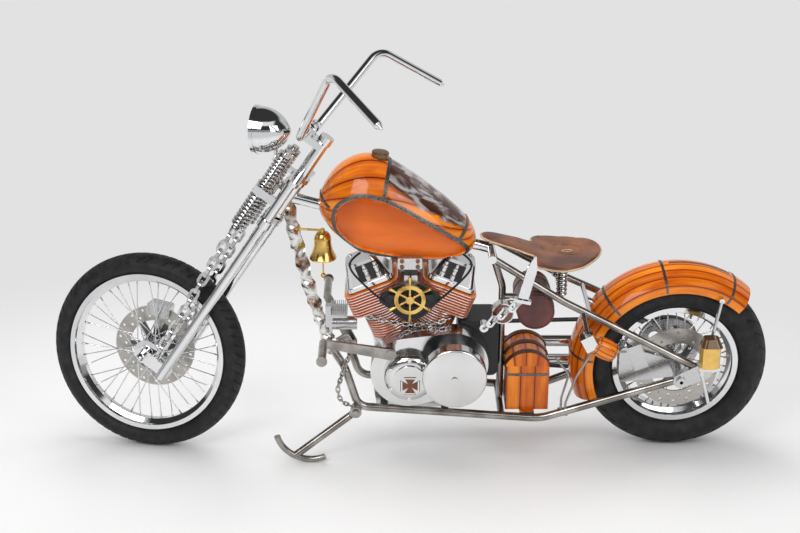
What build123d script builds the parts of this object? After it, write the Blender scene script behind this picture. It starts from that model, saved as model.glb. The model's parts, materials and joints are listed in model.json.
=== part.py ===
from build123d import *
from math import asin, atan, cos, degrees, radians, sin, sqrt, tan
import os

# A chopper motorcycle with a rigid frame, a spring fork with chain legs, tall bars,
# a V-twin engine and a side stand with an anchor foot. Millimetres and degrees.
# It is drawn upright: X runs forward from the rear axle, Y to the rider's left, Z up
# from the ground. Fork pieces use u, v, w: u ahead of the steering axis, v to the
# left and w up along it, from the foot of the front axle's offset.

# Stance
wheelbase = 1828
rake = 33.6
axle_offset = 95
lean = 8
steer_right = 15.8
steer_stop = 30

# General clearances
seat_gap = 0.3
running_fit = 0.05
press_fit = 0.02

# Wheels and tyres
rear_radius = 322.5
rear_half_width = 75
rear_crown = 78
rear_bead = 203
rear_lip = 217
rear_bead_half = 46
rear_spokes = 40
front_radius = 348
front_half_width = 48
front_crown = 50
front_bead = 270
front_lip = 281
front_bead_half = 33
front_spokes = 40
crown_sweep = 55
rim_wall = 4.5
well_depth = 15
spoke_radius = 1.9
spoke_lead = 48
hub_radius = 26
flange_radius = 43
flange_thickness = 5
front_flange_y = 33
front_hub_half = 44
rear_flange_y = 45
rear_hub_half = 59
axle_radius = 10
axle_bore = 6
front_axle_half = 88
rear_axle_half = 186

# Brake discs, callipers and belt pulley
disc_radius = 146
disc_inner = 92
disc_thickness = 5
disc_carrier = 34
disc_arms = 6
disc_hole = 5
front_disc_y = -52
rear_disc_y = 65
pulley_radius = 105
pulley_lip = 4
sprocket_radius = 75
sprocket_x = 688
sprocket_z = 335
belt_y = -108
belt_width = 24
belt_thickness = 5
belt_gap = 0.25

# Fork
leg_v = 92
leg_radius = 17
leg_bottom = -17
tree_thickness = 16
top_tree_w = 834
low_tree_w = 656
low_tree_thickness = 28
tree_reach = 40
perch_u = 75
perch_v = 45
perch_w = 736
perch_thickness = 28
perch_radius = 30
stem_radius = 13
neck_radius = 26
neck_wall_gap = 4
riser_radius = 21
riser_top = 985
riser_nut_radius = 25
riser_nut_height = 26
rocker_inner = 62
rocker_thickness = 12.7
rocker_radius = 20
pivot_radius = 8
chain_v = 85
chain_foot_u = 50
chain_foot_w = 36
chain_head_w = 574
clevis_radius = 13
clevis_height = 18
link_wire = 5
link_half_width = 18
fork_links = 15
chain_plug = 12
spring_rod_radius = 8
low_spring_radius = 30
top_spring_radius = 25
low_spring_turns = 10
top_spring_turns = 9
top_spring_w = 886
bridge_height = 16
cap_height = 7
rod_nut_height = 13

# Handlebar and lamp
bar_radius = 14
bar_clamp_u = 62
bar_clamp_w = 1003
bar_clamp_v = 24
bar_elbow_v = 92
bar_elbow_w = 968
bar_top_v = 314
bar_top_w = 1274
bar_tip_u = -161
bar_tip_v = 458
bar_tip_w = 1272
bar_top_radius = 62
bar_elbow_radius = 34
bar_point = 20
clamp_wall = 8
clamp_width = 22
lamp_radius = 79
lamp_depth = 122
lamp_rim_x = 1438
lamp_z = 1148
lamp_rim = 4
lens_radius = 71
lens_bulge = 10
reflector_depth = 52
lamp_stem_u = 98
lamp_stem_radius = 8
lamp_tip = 8

# Hand shifter
lever_links = 7
lever_wire = 3.5
lever_half_width = 13

# Frame
backbone_radius = 19
backbone_w = 760
backbone_rear = (645, 741)
downtube_w = 745
downtube_side = 36
downtube_turn = 720
downtube_steps = 16
downtube_bow = 14
lug_x = 1190
lug_z = 372
lug_radius = 30
low_rail_radius = 14
low_rail_y = 120
low_rail_x = 467
low_rail_z = 152
top_rail_radius = 12.5
rail_rear_y = 160
top_rail_y = 90
top_rail_bend = (401, 120, 594)
top_rail_rear = (-56, 366)
post_radius = 12.5
post_x = 602
plate_thickness = 30
plate_radius = 30

# Tank, seat, fender
tank_tunnel = 3
tank_bolts = (1150, 770)
panel_depth = 12
cap_radius = 27
cap_x = 1019
seat_tilt = 7.6
seat_curve = 356
seat_top = 753
seat_x = 420
seat_thickness = 20
pan_radius = 150
dish_radius = 300
dish_depth = 14
fender_inner_crown = 361
fender_skirt = 290
fender_half_width = 95
fender_thickness = 4
fender_front = -21
fender_rear = 132

# Engine and gearbox
crank_x = 917
crank_z = 300
vee = 45
case_half = 74
barrel_start = 150
barrel_end = 266
barrel_radius = 73
barrel_core = 54
barrel_fins = 12
head_start = 266.3
head_end = 356
head_length = 196
head_width = 168
head_fins = 9
fin_thickness = 3.2
rocker_box_start = 356.3
rocker_box_end = 446
primary_y = 150
cover_x = 921
cover_z = 340
cover_radius = 86
clutch_x = 771
clutch_z = 374
clutch_radius = 108
tube_y = -97
pipe_radius = 21
pipe_y = 186
port_z = 560

# Side stand
stand_x = 1104
stand_y = 150
stand_z = 196
stand_radius = 13
stand_lug = 24
stand_pin = 7
foot_y = 200
foot_radius = 11
foot_low_x = 1258
anchor_radius = 118
anchor_rear = 24
anchor_front = 76
anchor_crown = 28

sides = (1, -1)

rake_slope = radians(rake)
rear_axle = Vector(0, 0, rear_radius)
front_axle = Vector(wheelbase, 0, front_radius)
ahead = Vector(cos(rake_slope), 0, sin(rake_slope))
along = Vector(-sin(rake_slope), 0, cos(rake_slope))
steering = Plane(origin=front_axle - ahead * axle_offset, x_dir=ahead, z_dir=along)
low = Align.MIN
mid = Align.CENTER
standing = (mid, mid, low)


def fork(u, v, w):
    """A point of the fork, given ahead of, beside and along the steering axis."""
    return steering.from_local_coords((u, v, w))


def carried(place, point):
    """Where a place takes a point."""
    return (place * Pos(*point)).position


def tyre_low(place, axle, radius, crown):
    """Height of the lowest point of a tyre with a round crown."""
    hub = carried(place, axle)
    side = carried(place, axle + Vector(0, 1, 0)) - hub
    return hub.Z - (radius - crown) * sqrt(1 - side.Z**2) - crown


# The fork is turned to the right and the machine leans on its stand: the pitch and
# the lift that set both tyres on the ground are found by a few corrections.
turned = steering.location * Rotation(0, 0, -steer_right) * steering.location.inverse()
pitch = 0
for _ in range(8):
    leaned = Rotation(0, pitch, 0) * Rotation(-lean, 0, 0)
    rear_low = tyre_low(leaned, rear_axle, rear_radius, rear_crown)
    front_low = tyre_low(leaned * turned, front_axle, front_radius, front_crown)
    pitch += degrees(atan((front_low - rear_low) / wheelbase))
lift = -rear_low
parked = Pos(0, 0, lift) * Rotation(0, pitch, 0) * Rotation(-lean, 0, 0)
parked_steered = parked * turned

finished = []


def keep(builder, label, place=parked):
    """Labels a finished piece and sets it as the machine stands."""
    builder.part.label = label
    piece = builder.part.moved(place)
    piece.label = label
    finished.append(piece)


def rod(start, end, radius, mode=Mode.ADD):
    """A round bar between two points of the part being built."""
    run = Vector(*end) - Vector(*start)
    with Locations(Plane(origin=start, z_dir=run)):
        Cylinder(radius, run.length, align=standing, mode=mode)


def tube(line, radius, mode=Mode.ADD):
    """A round bar along a line of the part being built."""
    with BuildSketch(Plane(origin=line @ 0, z_dir=line % 0)) as section:
        Circle(radius)
    sweep(sections=section.sketch, path=line, mode=mode)


def wheel_section(axle):
    """The plane of a wheel's section: local x is the radius and local y is to the left."""
    return Plane(origin=axle, x_dir=(0, 0, 1), z_dir=(-1, 0, 0))


def side_plane(x, z, y=0):
    """A plane facing left at a distance y, with local x running rearward and y up."""
    return Plane(origin=(x, y, z), x_dir=(-1, 0, 0), z_dir=(0, 1, 0))


# Wheels: a tyre with a round crown, a rim with a sunk well, laced spokes and a hub
def make_tyre(axle, radius, half_width, crown, bead, lip, bead_half):
    """A tyre from bead to crown, solid inside."""
    centre = radius - crown
    turn = radians(crown_sweep)
    edge = (centre + crown * cos(turn), crown * sin(turn))
    widest = ((edge[0] + lip) / 2 + 4, half_width)
    with BuildPart() as tyre:
        with BuildSketch(wheel_section(axle)):
            with BuildLine():
                CenterArc((centre, 0), crown, -crown_sweep, 2 * crown_sweep)
                for side in sides:
                    heel = (lip + 3, side * (bead_half - 1))
                    ThreePointArc((edge[0], side * edge[1]), (widest[0], side * widest[1]), heel)
                    Polyline(heel, (lip - 1, side * bead_half), (bead, side * bead_half))
                Line((bead, bead_half), (bead, -bead_half))
            make_face()
        revolve(axis=Axis(axle, (0, 1, 0)))
    return tyre


def make_wire_wheel(axle, bead, lip, bead_half, flange_y, hub_half, spokes):
    """Rim, hub and laced spokes in one piece, bored for its axle."""
    outer = bead_half + rim_wall
    well = bead - well_depth
    flank = bead_half * 0.6
    with BuildPart() as wheel:
        with BuildSketch(wheel_section(axle)):
            with BuildLine():
                Polyline(
                    (lip, outer),
                    (lip, bead_half + seat_gap),
                    (bead - seat_gap, bead_half + seat_gap),
                    (bead - seat_gap, flank),
                    (well, flank - 10),
                    (well, 10 - flank),
                    (bead - seat_gap, -flank),
                    (bead - seat_gap, -bead_half - seat_gap),
                    (lip, -bead_half - seat_gap),
                    (lip, -outer),
                    (bead - rim_wall, -outer),
                    (bead - rim_wall, -flank - 2),
                    (well - rim_wall, 8 - flank),
                    (well - rim_wall, flank - 8),
                    (bead - rim_wall, flank + 2),
                    (bead - rim_wall, outer),
                    close=True,
                )
            make_face()
        revolve(axis=Axis(axle, (0, 1, 0)))
        with BuildSketch(wheel_section(axle)):
            with BuildLine():
                Polyline(
                    (0, hub_half),
                    (hub_radius, hub_half),
                    (hub_radius, flange_y + flange_thickness),
                    (flange_radius, flange_y + flange_thickness / 2),
                    (flange_radius, flange_y - flange_thickness / 2),
                    (hub_radius - 4, flange_y - 2 * flange_thickness),
                    (hub_radius - 4, 2 * flange_thickness - flange_y),
                    (flange_radius, flange_thickness / 2 - flange_y),
                    (flange_radius, -flange_thickness / 2 - flange_y),
                    (hub_radius, -flange_thickness - flange_y),
                    (hub_radius, -hub_half),
                    (0, -hub_half),
                    close=True,
                )
            make_face()
        revolve(axis=Axis(axle, (0, 1, 0)))
        eye = flange_radius - 5
        foot = well - rim_wall + 2
        seats = []
        for index in range(spokes):
            side = 1 if index % 2 else -1
            lead = spoke_lead if index // 2 % 2 else -spoke_lead
            rim_turn = radians(index * 360 / spokes)
            hub_turn = rim_turn + radians(lead)
            head_y = side * flange_y + (1.5 if lead > 0 else -1.5)
            start = axle + Vector(eye * cos(hub_turn), head_y, eye * sin(hub_turn))
            end = axle + Vector(foot * cos(rim_turn), side * 5, foot * sin(rim_turn))
            seats.append(Plane(origin=start, z_dir=end - start))
        with Locations(*seats):
            Cylinder(spoke_radius, (end - start).length, align=standing)
        rod(axle - Vector(0, hub_half, 0), axle + Vector(0, hub_half, 0), axle_radius + running_fit,
            mode=Mode.SUBTRACT)
    return wheel


def make_disc(axle, y, hub_half):
    """A drilled brake disc on a carrier at the end of its hub."""
    side = 1 if y > 0 else -1
    face = y - side * disc_thickness / 2
    hub_end = side * hub_half
    with BuildPart() as disc:
        with BuildSketch(side_plane(axle.X, axle.Z, y - disc_thickness / 2)):
            Circle(disc_radius)
            Circle(disc_inner, mode=Mode.SUBTRACT)
            with PolarLocations(disc_inner + 2, disc_arms):
                Rectangle(2 * disc_inner, 22, align=(Align.MAX, mid))
            for ring, first in ((disc_inner + 17, 0), (disc_radius - 14, 10)):
                with PolarLocations(ring, 3 * disc_arms, start_angle=first):
                    Circle(disc_hole, mode=Mode.SUBTRACT)
        extrude(amount=disc_thickness)
        rod((axle.X, hub_end + side * seat_gap, axle.Z), (axle.X, face + side * disc_thickness, axle.Z),
            disc_carrier)
        rod((axle.X, hub_end, axle.Z), (axle.X, 2 * y, axle.Z), axle_radius + 1, mode=Mode.SUBTRACT)
    return disc


rear_tyre = make_tyre(rear_axle, rear_radius, rear_half_width, rear_crown, rear_bead, rear_lip, rear_bead_half)
keep(rear_tyre, "rear_tyre")
rear_wheel = make_wire_wheel(
    rear_axle, rear_bead, rear_lip, rear_bead_half, rear_flange_y, rear_hub_half, rear_spokes
)
keep(rear_wheel, "rear_wheel")
rear_disc = make_disc(rear_axle, rear_disc_y, rear_hub_half)
keep(rear_disc, "rear_disc")
front_tyre = make_tyre(
    front_axle, front_radius, front_half_width, front_crown, front_bead, front_lip, front_bead_half
)
keep(front_tyre, "front_tyre", parked_steered)
front_wheel = make_wire_wheel(
    front_axle, front_bead, front_lip, front_bead_half, front_flange_y, front_hub_half, front_spokes
)
keep(front_wheel, "front_wheel", parked_steered)
front_disc = make_disc(front_axle, front_disc_y, front_hub_half)
keep(front_disc, "front_disc", parked_steered)

# Belt pulley on the right end of the rear hub, and the belt round it and the gearbox sprocket
with BuildPart() as rear_pulley:
    pulley_start = belt_y - belt_width / 2 - 2
    with BuildSketch(side_plane(0, rear_radius, pulley_start)):
        Circle(pulley_radius)
        with PolarLocations(pulley_radius * 0.62, 5):
            Circle(20, mode=Mode.SUBTRACT)
    extrude(amount=belt_width + 4)
    for edge_y in (pulley_start - 1, pulley_start + belt_width + 2):
        with BuildSketch(side_plane(0, rear_radius, edge_y)):
            Circle(pulley_radius + pulley_lip)
            Circle(pulley_radius - 12, mode=Mode.SUBTRACT)
        extrude(amount=3)
    rod((0, -rear_hub_half - seat_gap, rear_radius), (0, belt_y, rear_radius), 36)
    rod((0, 0, rear_radius), (0, 2 * belt_y, rear_radius), axle_radius + 1, mode=Mode.SUBTRACT)
keep(rear_pulley, "rear_pulley")

with BuildPart() as drive_belt:
    with BuildSketch(side_plane(0, rear_radius, belt_y - belt_width / 2)):
        inner = pulley_radius + belt_gap
        small = sprocket_radius + belt_gap
        sprocket_at = (-sprocket_x, sprocket_z - rear_radius)
        with BuildSketch(mode=Mode.PRIVATE) as belt_outside:
            Circle(inner + belt_thickness)
            with Locations(sprocket_at):
                Circle(small + belt_thickness)
            make_hull()
        with BuildSketch(mode=Mode.PRIVATE) as belt_inside:
            Circle(inner)
            with Locations(sprocket_at):
                Circle(small)
            make_hull()
        add(belt_outside.sketch)
        add(belt_inside.sketch, mode=Mode.SUBTRACT)
    extrude(amount=belt_width)
keep(drive_belt, "drive_belt")

# Fork: two legs, low and top trees, the spring perch, the stem and the riser above it
with BuildPart() as fork_body:
    for side in sides:
        rod(fork(0, side * leg_v, leg_bottom), fork(0, side * leg_v, top_tree_w + tree_thickness), leg_radius)
        rod(fork(0, side * leg_v, 0), fork(0, side * rocker_inner, 0), pivot_radius)
    for level, thick in ((low_tree_w, low_tree_thickness), (top_tree_w, tree_thickness)):
        with BuildSketch(steering.offset(level)):
            SlotCenterToCenter(2 * leg_v, 2 * leg_radius + 14, rotation=90)
            Circle(neck_radius + 8)
        extrude(amount=thick)
    with BuildSketch(steering.offset(perch_w)):
        for side in sides:
            with Locations((perch_u, side * perch_v)):
                Circle(perch_radius)
            with Locations((perch_u / 2, side * leg_v)):
                Rectangle(perch_u, 22)
        with Locations((perch_u + 4, 0)):
            Rectangle(30, 2 * leg_v + 22)
        with Locations((perch_u, perch_v), (perch_u, -perch_v)):
            Circle(spring_rod_radius + 0.5, mode=Mode.SUBTRACT)
    extrude(amount=perch_thickness)
    with BuildSketch(steering.offset(top_tree_w)):
        with Locations((lamp_stem_u / 2, 0)):
            Rectangle(lamp_stem_u + 24, 26)
    extrude(amount=tree_thickness)
    rod(fork(0, 0, low_tree_w), fork(0, 0, riser_top), stem_radius)
    rod(fork(0, 0, top_tree_w), fork(0, 0, riser_top), riser_radius)
    rod(fork(0, 0, riser_top), fork(0, 0, riser_top + riser_nut_height), riser_nut_radius)
    with BuildSketch(steering.offset(riser_top - 24)):
        with Locations((bar_clamp_u / 2, 0)):
            Rectangle(bar_clamp_u + bar_radius, 2 * bar_clamp_v + clamp_width)
    extrude(amount=24)
    for side in sides:
        clamp_at = fork(bar_clamp_u, side * bar_clamp_v, bar_clamp_w)
        across = Vector(0, clamp_width / 2, 0)
        rod(clamp_at - across, clamp_at + across, bar_radius + clamp_wall)
    rod(fork(bar_clamp_u, -50, bar_clamp_w), fork(bar_clamp_u, 50, bar_clamp_w), bar_radius + press_fit,
        mode=Mode.SUBTRACT)
keep(fork_body, "fork", parked_steered)

# Rockers on the legs' pivots, joined by the front axle, with a clevis for each chain leg
with BuildPart() as rockers:
    for side in sides:
        near = rocker_inner if side > 0 else -rocker_inner - rocker_thickness
        with BuildSketch(Plane(origin=fork(0, near, 0), x_dir=ahead, z_dir=(0, 1, 0))):
            with Locations((axle_offset / 2, 0)):
                SlotCenterToCenter(axle_offset, 2 * rocker_radius)
            Circle(pivot_radius + running_fit, mode=Mode.SUBTRACT)
        extrude(amount=rocker_thickness)
        with BuildSketch(Plane(origin=fork(chain_foot_u, 0, chain_foot_w), x_dir=ahead, z_dir=-along)):
            with Locations((0, -side * (rocker_inner + chain_v + clevis_radius) / 2)):
                Rectangle(2 * clevis_radius, chain_v + clevis_radius - rocker_inner)
        extrude(amount=clevis_height)
    rod(fork(axle_offset, -front_axle_half, 0), fork(axle_offset, front_axle_half, 0), axle_radius)
    for side in sides:
        rod(fork(axle_offset, side * (rocker_inner + rocker_thickness), 0),
            fork(axle_offset, side * front_axle_half, 0), axle_radius + 5)
    rod(fork(axle_offset, -front_axle_half, 0), fork(axle_offset, front_axle_half, 0), axle_bore,
        mode=Mode.SUBTRACT)
keep(rockers, "rockers", parked_steered)

def chain(start, end, links, wire, half_width):
    """A stiff chain of flat links, each turned a quarter from the one before."""
    step = (end - start) / links
    half = step.length / 2 + 2 * wire - half_width
    for index in range(links):
        quarter = Vector(0, 1, 0) if index % 2 else step.cross(Vector(0, 1, 0))
        face = Plane(origin=start + step * (index + 0.5), x_dir=step, z_dir=quarter)
        with BuildSketch(face) as link:
            SlotCenterToCenter(2 * half, 2 * half_width)
            SlotCenterToCenter(2 * half, 2 * (half_width - 2 * wire), mode=Mode.SUBTRACT)
        extrude(link.sketch, amount=wire, both=True)


# Chain legs: stiff chains of links turned a quarter from each other, with a plug at each end
with BuildPart() as fork_chains:
    for side in sides:
        foot_at = fork(chain_foot_u, side * chain_v, chain_foot_w + chain_plug)
        head_at = fork(perch_u, side * chain_v, chain_head_w - chain_plug)
        chain(foot_at, head_at, fork_links, link_wire, link_half_width)
        rod(foot_at - along * (chain_plug - seat_gap), foot_at + along * link_wire, clevis_radius - 3)
        rod(head_at + along * chain_plug, head_at - along * link_wire, clevis_radius - 3)
keep(fork_chains, "fork_chains", parked_steered)


def coil_spring(at, axis, radius, start, end, turns, core):
    """A close coil spring drawn as its stack of turns round a core, from start to end."""
    pitch_step = (end - start) / turns
    wire = pitch_step * 0.36
    with BuildSketch(Plane(origin=at, x_dir=axis, z_dir=axis.cross(Vector(0, 1, 0)))) as outline:
        with BuildLine():
            points = [(start, 0), (start, radius - wire)]
            Line(points[0], points[1])
            for turn in range(turns):
                first = start + turn * pitch_step
                Polyline(
                    (first, radius - wire),
                    (first + 0.3 * wire, radius - 0.3 * wire),
                    (first + wire, radius),
                    (first + 1.7 * wire, radius - 0.3 * wire),
                    (first + 2 * wire, radius - wire),
                )
                Polyline(
                    (first + 2 * wire, radius - wire),
                    (first + 2 * wire, core),
                    (first + pitch_step, core),
                    (first + pitch_step, radius - wire if turn < turns - 1 else 0),
                )
            Line((end, 0), (start, 0))
        make_face()
    revolve(outline.sketch, axis=Axis(at, axis))


# Spring sets: a rod through each perch, long springs below it and short ones above
with BuildPart() as fork_springs:
    for side in sides:
        at = fork(perch_u, side * perch_v, 0)
        low_start = chain_head_w + bridge_height
        coil_spring(at, along, low_spring_radius, low_start, perch_w - seat_gap, low_spring_turns, 16)
        coil_spring(
            at, along, top_spring_radius, perch_w + perch_thickness + seat_gap, top_spring_w, top_spring_turns, 14
        )
        rod(fork(perch_u, side * perch_v, chain_head_w), fork(perch_u, side * perch_v, top_spring_w),
            spring_rod_radius)
        rod(fork(perch_u, side * perch_v, top_spring_w),
            fork(perch_u, side * perch_v, top_spring_w + cap_height), top_spring_radius)
        rod(fork(perch_u, side * perch_v, top_spring_w + cap_height),
            fork(perch_u, side * perch_v, top_spring_w + cap_height + rod_nut_height), clevis_radius)
    with BuildSketch(steering.offset(chain_head_w + seat_gap)):
        with Locations((perch_u, 0)):
            SlotCenterToCenter(2 * chain_v, 2 * clevis_radius, rotation=90)
    extrude(amount=bridge_height)
keep(fork_springs, "fork_springs", parked_steered)

# Front calliper astride the disc, on an arm from the end of the axle
with BuildPart() as front_brake:
    calliper_v = front_disc_y
    arm_v = -rocker_inner - rocker_thickness - seat_gap
    with BuildSketch(Plane(origin=fork(axle_offset, arm_v, 0), x_dir=ahead, z_dir=(0, -1, 0))):
        with BuildSketch(mode=Mode.PRIVATE) as arm_outline:
            Circle(24)
            with Locations((52, 118)):
                Circle(20)
            make_hull()
        add(arm_outline.sketch)
        Circle(axle_radius + 5.2, mode=Mode.SUBTRACT)
    extrude(amount=8)
    with BuildSketch(Plane(origin=fork(axle_offset, arm_v - 8, 0), x_dir=ahead, z_dir=(0, 1, 0))):
        with Locations(Location((58, -122), 24)):
            RectangleRounded(84, 48, 10)
    extrude(amount=-arm_v + 8 + calliper_v + 18)
    rod((front_axle.X, calliper_v - 5, front_axle.Z), (front_axle.X, calliper_v + 5, front_axle.Z),
        disc_radius + 3, mode=Mode.SUBTRACT)
keep(front_brake, "front_brake", parked_steered)

# Handlebar: one bent bar with pointed ends
with BuildLine() as bar_line:
    half_bar = [
        (bar_tip_u, bar_tip_v, bar_tip_w),
        (bar_clamp_u, bar_top_v, bar_top_w),
        (bar_clamp_u, bar_elbow_v, bar_elbow_w),
        (bar_clamp_u, bar_clamp_v + clamp_width, bar_clamp_w),
    ]
    bar_points = [fork(*point) for point in half_bar]
    bar_points += [fork(point[0], -point[1], point[2]) for point in reversed(half_bar)]
    FilletPolyline(
        *bar_points,
        radius=[bar_top_radius, bar_elbow_radius, bar_elbow_radius, bar_elbow_radius, bar_elbow_radius,
                bar_top_radius],
    )
with BuildPart() as handlebar:
    tube(bar_line.line, bar_radius)
    for end, inward in ((bar_line.line @ 0, bar_line.line % 0), (bar_line.line @ 1, -(bar_line.line % 1))):
        with Locations(Plane(origin=end, z_dir=-inward)):
            Cone(bar_radius, 3, bar_point, align=standing)
keep(handlebar, "handlebar", parked_steered)

# Headlight: a deep bowl with a rim and reflector, its lens, and a stem on the top tree
lamp_axis = Axis((0, 0, lamp_z), (1, 0, 0))
lamp_plane = Plane(origin=(lamp_rim_x, 0, lamp_z), x_dir=(1, 0, 0), z_dir=(0, -1, 0))
with BuildPart() as headlight:
    with BuildSketch(lamp_plane):
        with BuildLine():
            Line((-lamp_depth, 0), (0, 0))
            Polyline((0, 0), (0, lamp_radius + lamp_rim), (-12, lamp_radius + lamp_rim), (-12, lamp_radius))
            ThreePointArc((-12, lamp_radius), (-lamp_depth * 0.74, lamp_radius * 0.66), (-lamp_depth, lamp_tip))
            Line((-lamp_depth, lamp_tip), (-lamp_depth, 0))
        make_face()
    revolve(axis=lamp_axis)
    with BuildSketch(lamp_plane):
        with BuildLine():
            Line((-reflector_depth, 0), (1, 0))
            Polyline((1, 0), (1, lens_radius), (-8, lens_radius))
            ThreePointArc((-8, lens_radius), (-reflector_depth * 0.66, lens_radius * 0.62), (-reflector_depth, lamp_tip))
            Line((-reflector_depth, lamp_tip), (-reflector_depth, 0))
        make_face()
    revolve(axis=lamp_axis, mode=Mode.SUBTRACT)
    stem_foot = fork(lamp_stem_u, 0, top_tree_w + tree_thickness - lamp_stem_radius)
    rod(stem_foot, stem_foot + Vector(6, 0, 48), lamp_stem_radius)
    add(fork_body.part, mode=Mode.SUBTRACT)
keep(headlight, "headlight", parked_steered)

with BuildPart() as headlight_lens:
    with BuildSketch(lamp_plane):
        with BuildLine():
            Polyline((lens_bulge, lamp_tip), (lens_bulge, 0), (-4, 0), (-4, lens_radius - seat_gap), (0, lens_radius - seat_gap))
            ThreePointArc((0, lens_radius - seat_gap), (lens_bulge * 0.78, lens_radius * 0.5), (lens_bulge, lamp_tip))
        make_face()
    revolve(axis=lamp_axis)
keep(headlight_lens, "headlight_lens", parked_steered)

# Frame: neck and backbone
neck_bottom = low_tree_w + low_tree_thickness + neck_wall_gap
neck_top = top_tree_w - neck_wall_gap
backbone_front = fork(0, 0, backbone_w)
backbone_end = Vector(backbone_rear[0], 0, backbone_rear[1])
with BuildPart() as backbone:
    rod(fork(0, 0, neck_bottom), fork(0, 0, neck_top), neck_radius)
    for level in (neck_bottom, neck_top - 12):
        rod(fork(0, 0, level), fork(0, 0, level + 12), neck_radius + 4)
    rod(backbone_front, backbone_end, backbone_radius)
    rod(backbone_end - Vector(0, top_rail_y + 16, 0), backbone_end + Vector(0, top_rail_y + 16, 0), 14)
    for bolt_x in tank_bolts:
        share = (backbone_front.X - bolt_x) / (backbone_front.X - backbone_end.X)
        bolt = backbone_front + (backbone_end - backbone_front) * share
        reach = Vector(0, backbone_radius + 2 * tank_tunnel, 0)
        rod(bolt - reach, bolt + reach, 7)
    rod(fork(0, 0, neck_bottom - 5), fork(0, 0, neck_top + 5), stem_radius + running_fit, mode=Mode.SUBTRACT)
keep(backbone, "backbone")

# Twisted square downtube on a ball lug
downtube_top = fork(0, 0, downtube_w) + Vector(-8, 0, 0)
downtube_low = Vector(lug_x, 0, lug_z)
downtube_run = downtube_low - downtube_top
with BuildPart() as downtube:
    for step in range(downtube_steps + 1):
        share = step / downtube_steps
        bow = 4 * downtube_bow * share * (1 - share)
        centre = downtube_top + downtube_run * share + Vector(bow, 0, 0)
        with BuildSketch(Plane(origin=centre, x_dir=(0, 1, 0), z_dir=downtube_run)):
            Rectangle(downtube_side, downtube_side, rotation=share * downtube_turn)
    loft(ruled=True)
    with Locations(downtube_low):
        Sphere(lug_radius)
    rod(fork(0, 0, neck_bottom - 5), fork(0, 0, neck_top + 5), neck_radius, mode=Mode.SUBTRACT)
    rod(fork(0, 0, neck_bottom), fork(0, 0, neck_bottom + 12), neck_radius + 4, mode=Mode.SUBTRACT)
    rod(backbone_front, backbone_end, backbone_radius, mode=Mode.SUBTRACT)
keep(downtube, "downtube")

# Rails: the low pair from the lug to the axle plates, the top pair from the backbone to them
plate_y = rail_rear_y
with BuildPart() as axle_plates:
    for side in sides:
        start_y = side * plate_y - plate_thickness / 2
        with BuildSketch(side_plane(0, rear_radius, start_y)):
            with BuildSketch(mode=Mode.PRIVATE) as plate_outline:
                Circle(26)
                with Locations((74, 36)):
                    Circle(plate_radius)
                make_hull()
            add(plate_outline.sketch)
        extrude(amount=plate_thickness)
    rod((0, -rear_axle_half, rear_radius), (0, rear_axle_half, rear_radius), axle_radius)
    for side in sides:
        rod((0, side * (plate_y + plate_thickness / 2), rear_radius), (0, side * rear_axle_half, rear_radius), 16)
    rod((0, -rear_axle_half, rear_radius), (0, rear_axle_half, rear_radius), axle_bore, mode=Mode.SUBTRACT)
keep(axle_plates, "axle_plates")

with BuildPart() as lower_rails:
    for side in sides:
        with BuildLine(mode=Mode.PRIVATE) as rail_line:
            FilletPolyline(
                (lug_x, side * 6, lug_z),
                (1140, side * low_rail_y, 350),
                (1096, side * low_rail_y, 200),
                (low_rail_x, side * low_rail_y, low_rail_z),
                (15, side * (rail_rear_y - 6), 317),
                radius=[30, 50, 160],
            )
        tube(rail_line.line, low_rail_radius)
    lug_end = stand_y - stand_lug / 2
    rod((stand_x, low_rail_y, stand_z), (stand_x, lug_end, stand_z), 18)
    rod((stand_x, lug_end, stand_z), (stand_x, lug_end + stand_lug + 10, stand_z), stand_pin)
    rod((stand_x, lug_end + stand_lug + 2 * seat_gap, stand_z), (stand_x, lug_end + stand_lug + 10, stand_z), 12)
    with Locations(downtube_low):
        Sphere(lug_radius, mode=Mode.SUBTRACT)
    add(axle_plates.part, mode=Mode.SUBTRACT)
keep(lower_rails, "lower_rails")

with BuildPart() as upper_rails:
    for side in sides:
        with BuildLine(mode=Mode.PRIVATE) as rail_line:
            FilletPolyline(
                (backbone_rear[0], side * top_rail_y, backbone_rear[1]),
                (top_rail_bend[0], side * top_rail_bend[1], top_rail_bend[2]),
                (top_rail_rear[0], side * rail_rear_y, top_rail_rear[1]),
                radius=[200],
            )
        tube(rail_line.line, top_rail_radius)
    add(axle_plates.part, mode=Mode.SUBTRACT)
    add(backbone.part, mode=Mode.SUBTRACT)
keep(upper_rails, "upper_rails")

# Seat post with a cross tube between the low rails
rail_level = low_rail_z + (post_x - low_rail_x) * (200 - low_rail_z) / (1096 - low_rail_x)
with BuildPart() as seat_post:
    with BuildLine(mode=Mode.PRIVATE) as post_line:
        FilletPolyline((backbone_rear[0], 0, backbone_rear[1]), (post_x, 0, 600), (post_x, 0, rail_level), radius=[90])
    tube(post_line.line, post_radius)
    rod((post_x, -low_rail_y, rail_level), (post_x, low_rail_y, rail_level), post_radius)
    add(backbone.part, mode=Mode.SUBTRACT)
    add(lower_rails.part, mode=Mode.SUBTRACT)
keep(seat_post, "seat_post")

# Fuel tank: sections from front to rear as top, bottom, widest height and half width
tank_rows = (
    (1216, 925, 872, 898, 30),
    (1203, 952, 842, 896, 64),
    (1178, 992, 806, 893, 94),
    (1135, 1035, 770, 888, 122),
    (1060, 1058, 746, 878, 143),
    (980, 1032, 737, 866, 144),
    (900, 988, 733, 848, 132),
    (820, 938, 736, 828, 112),
    (755, 882, 742, 806, 84),
    (712, 838, 756, 794, 54),
    (698, 812, 770, 791, 26),
)


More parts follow.
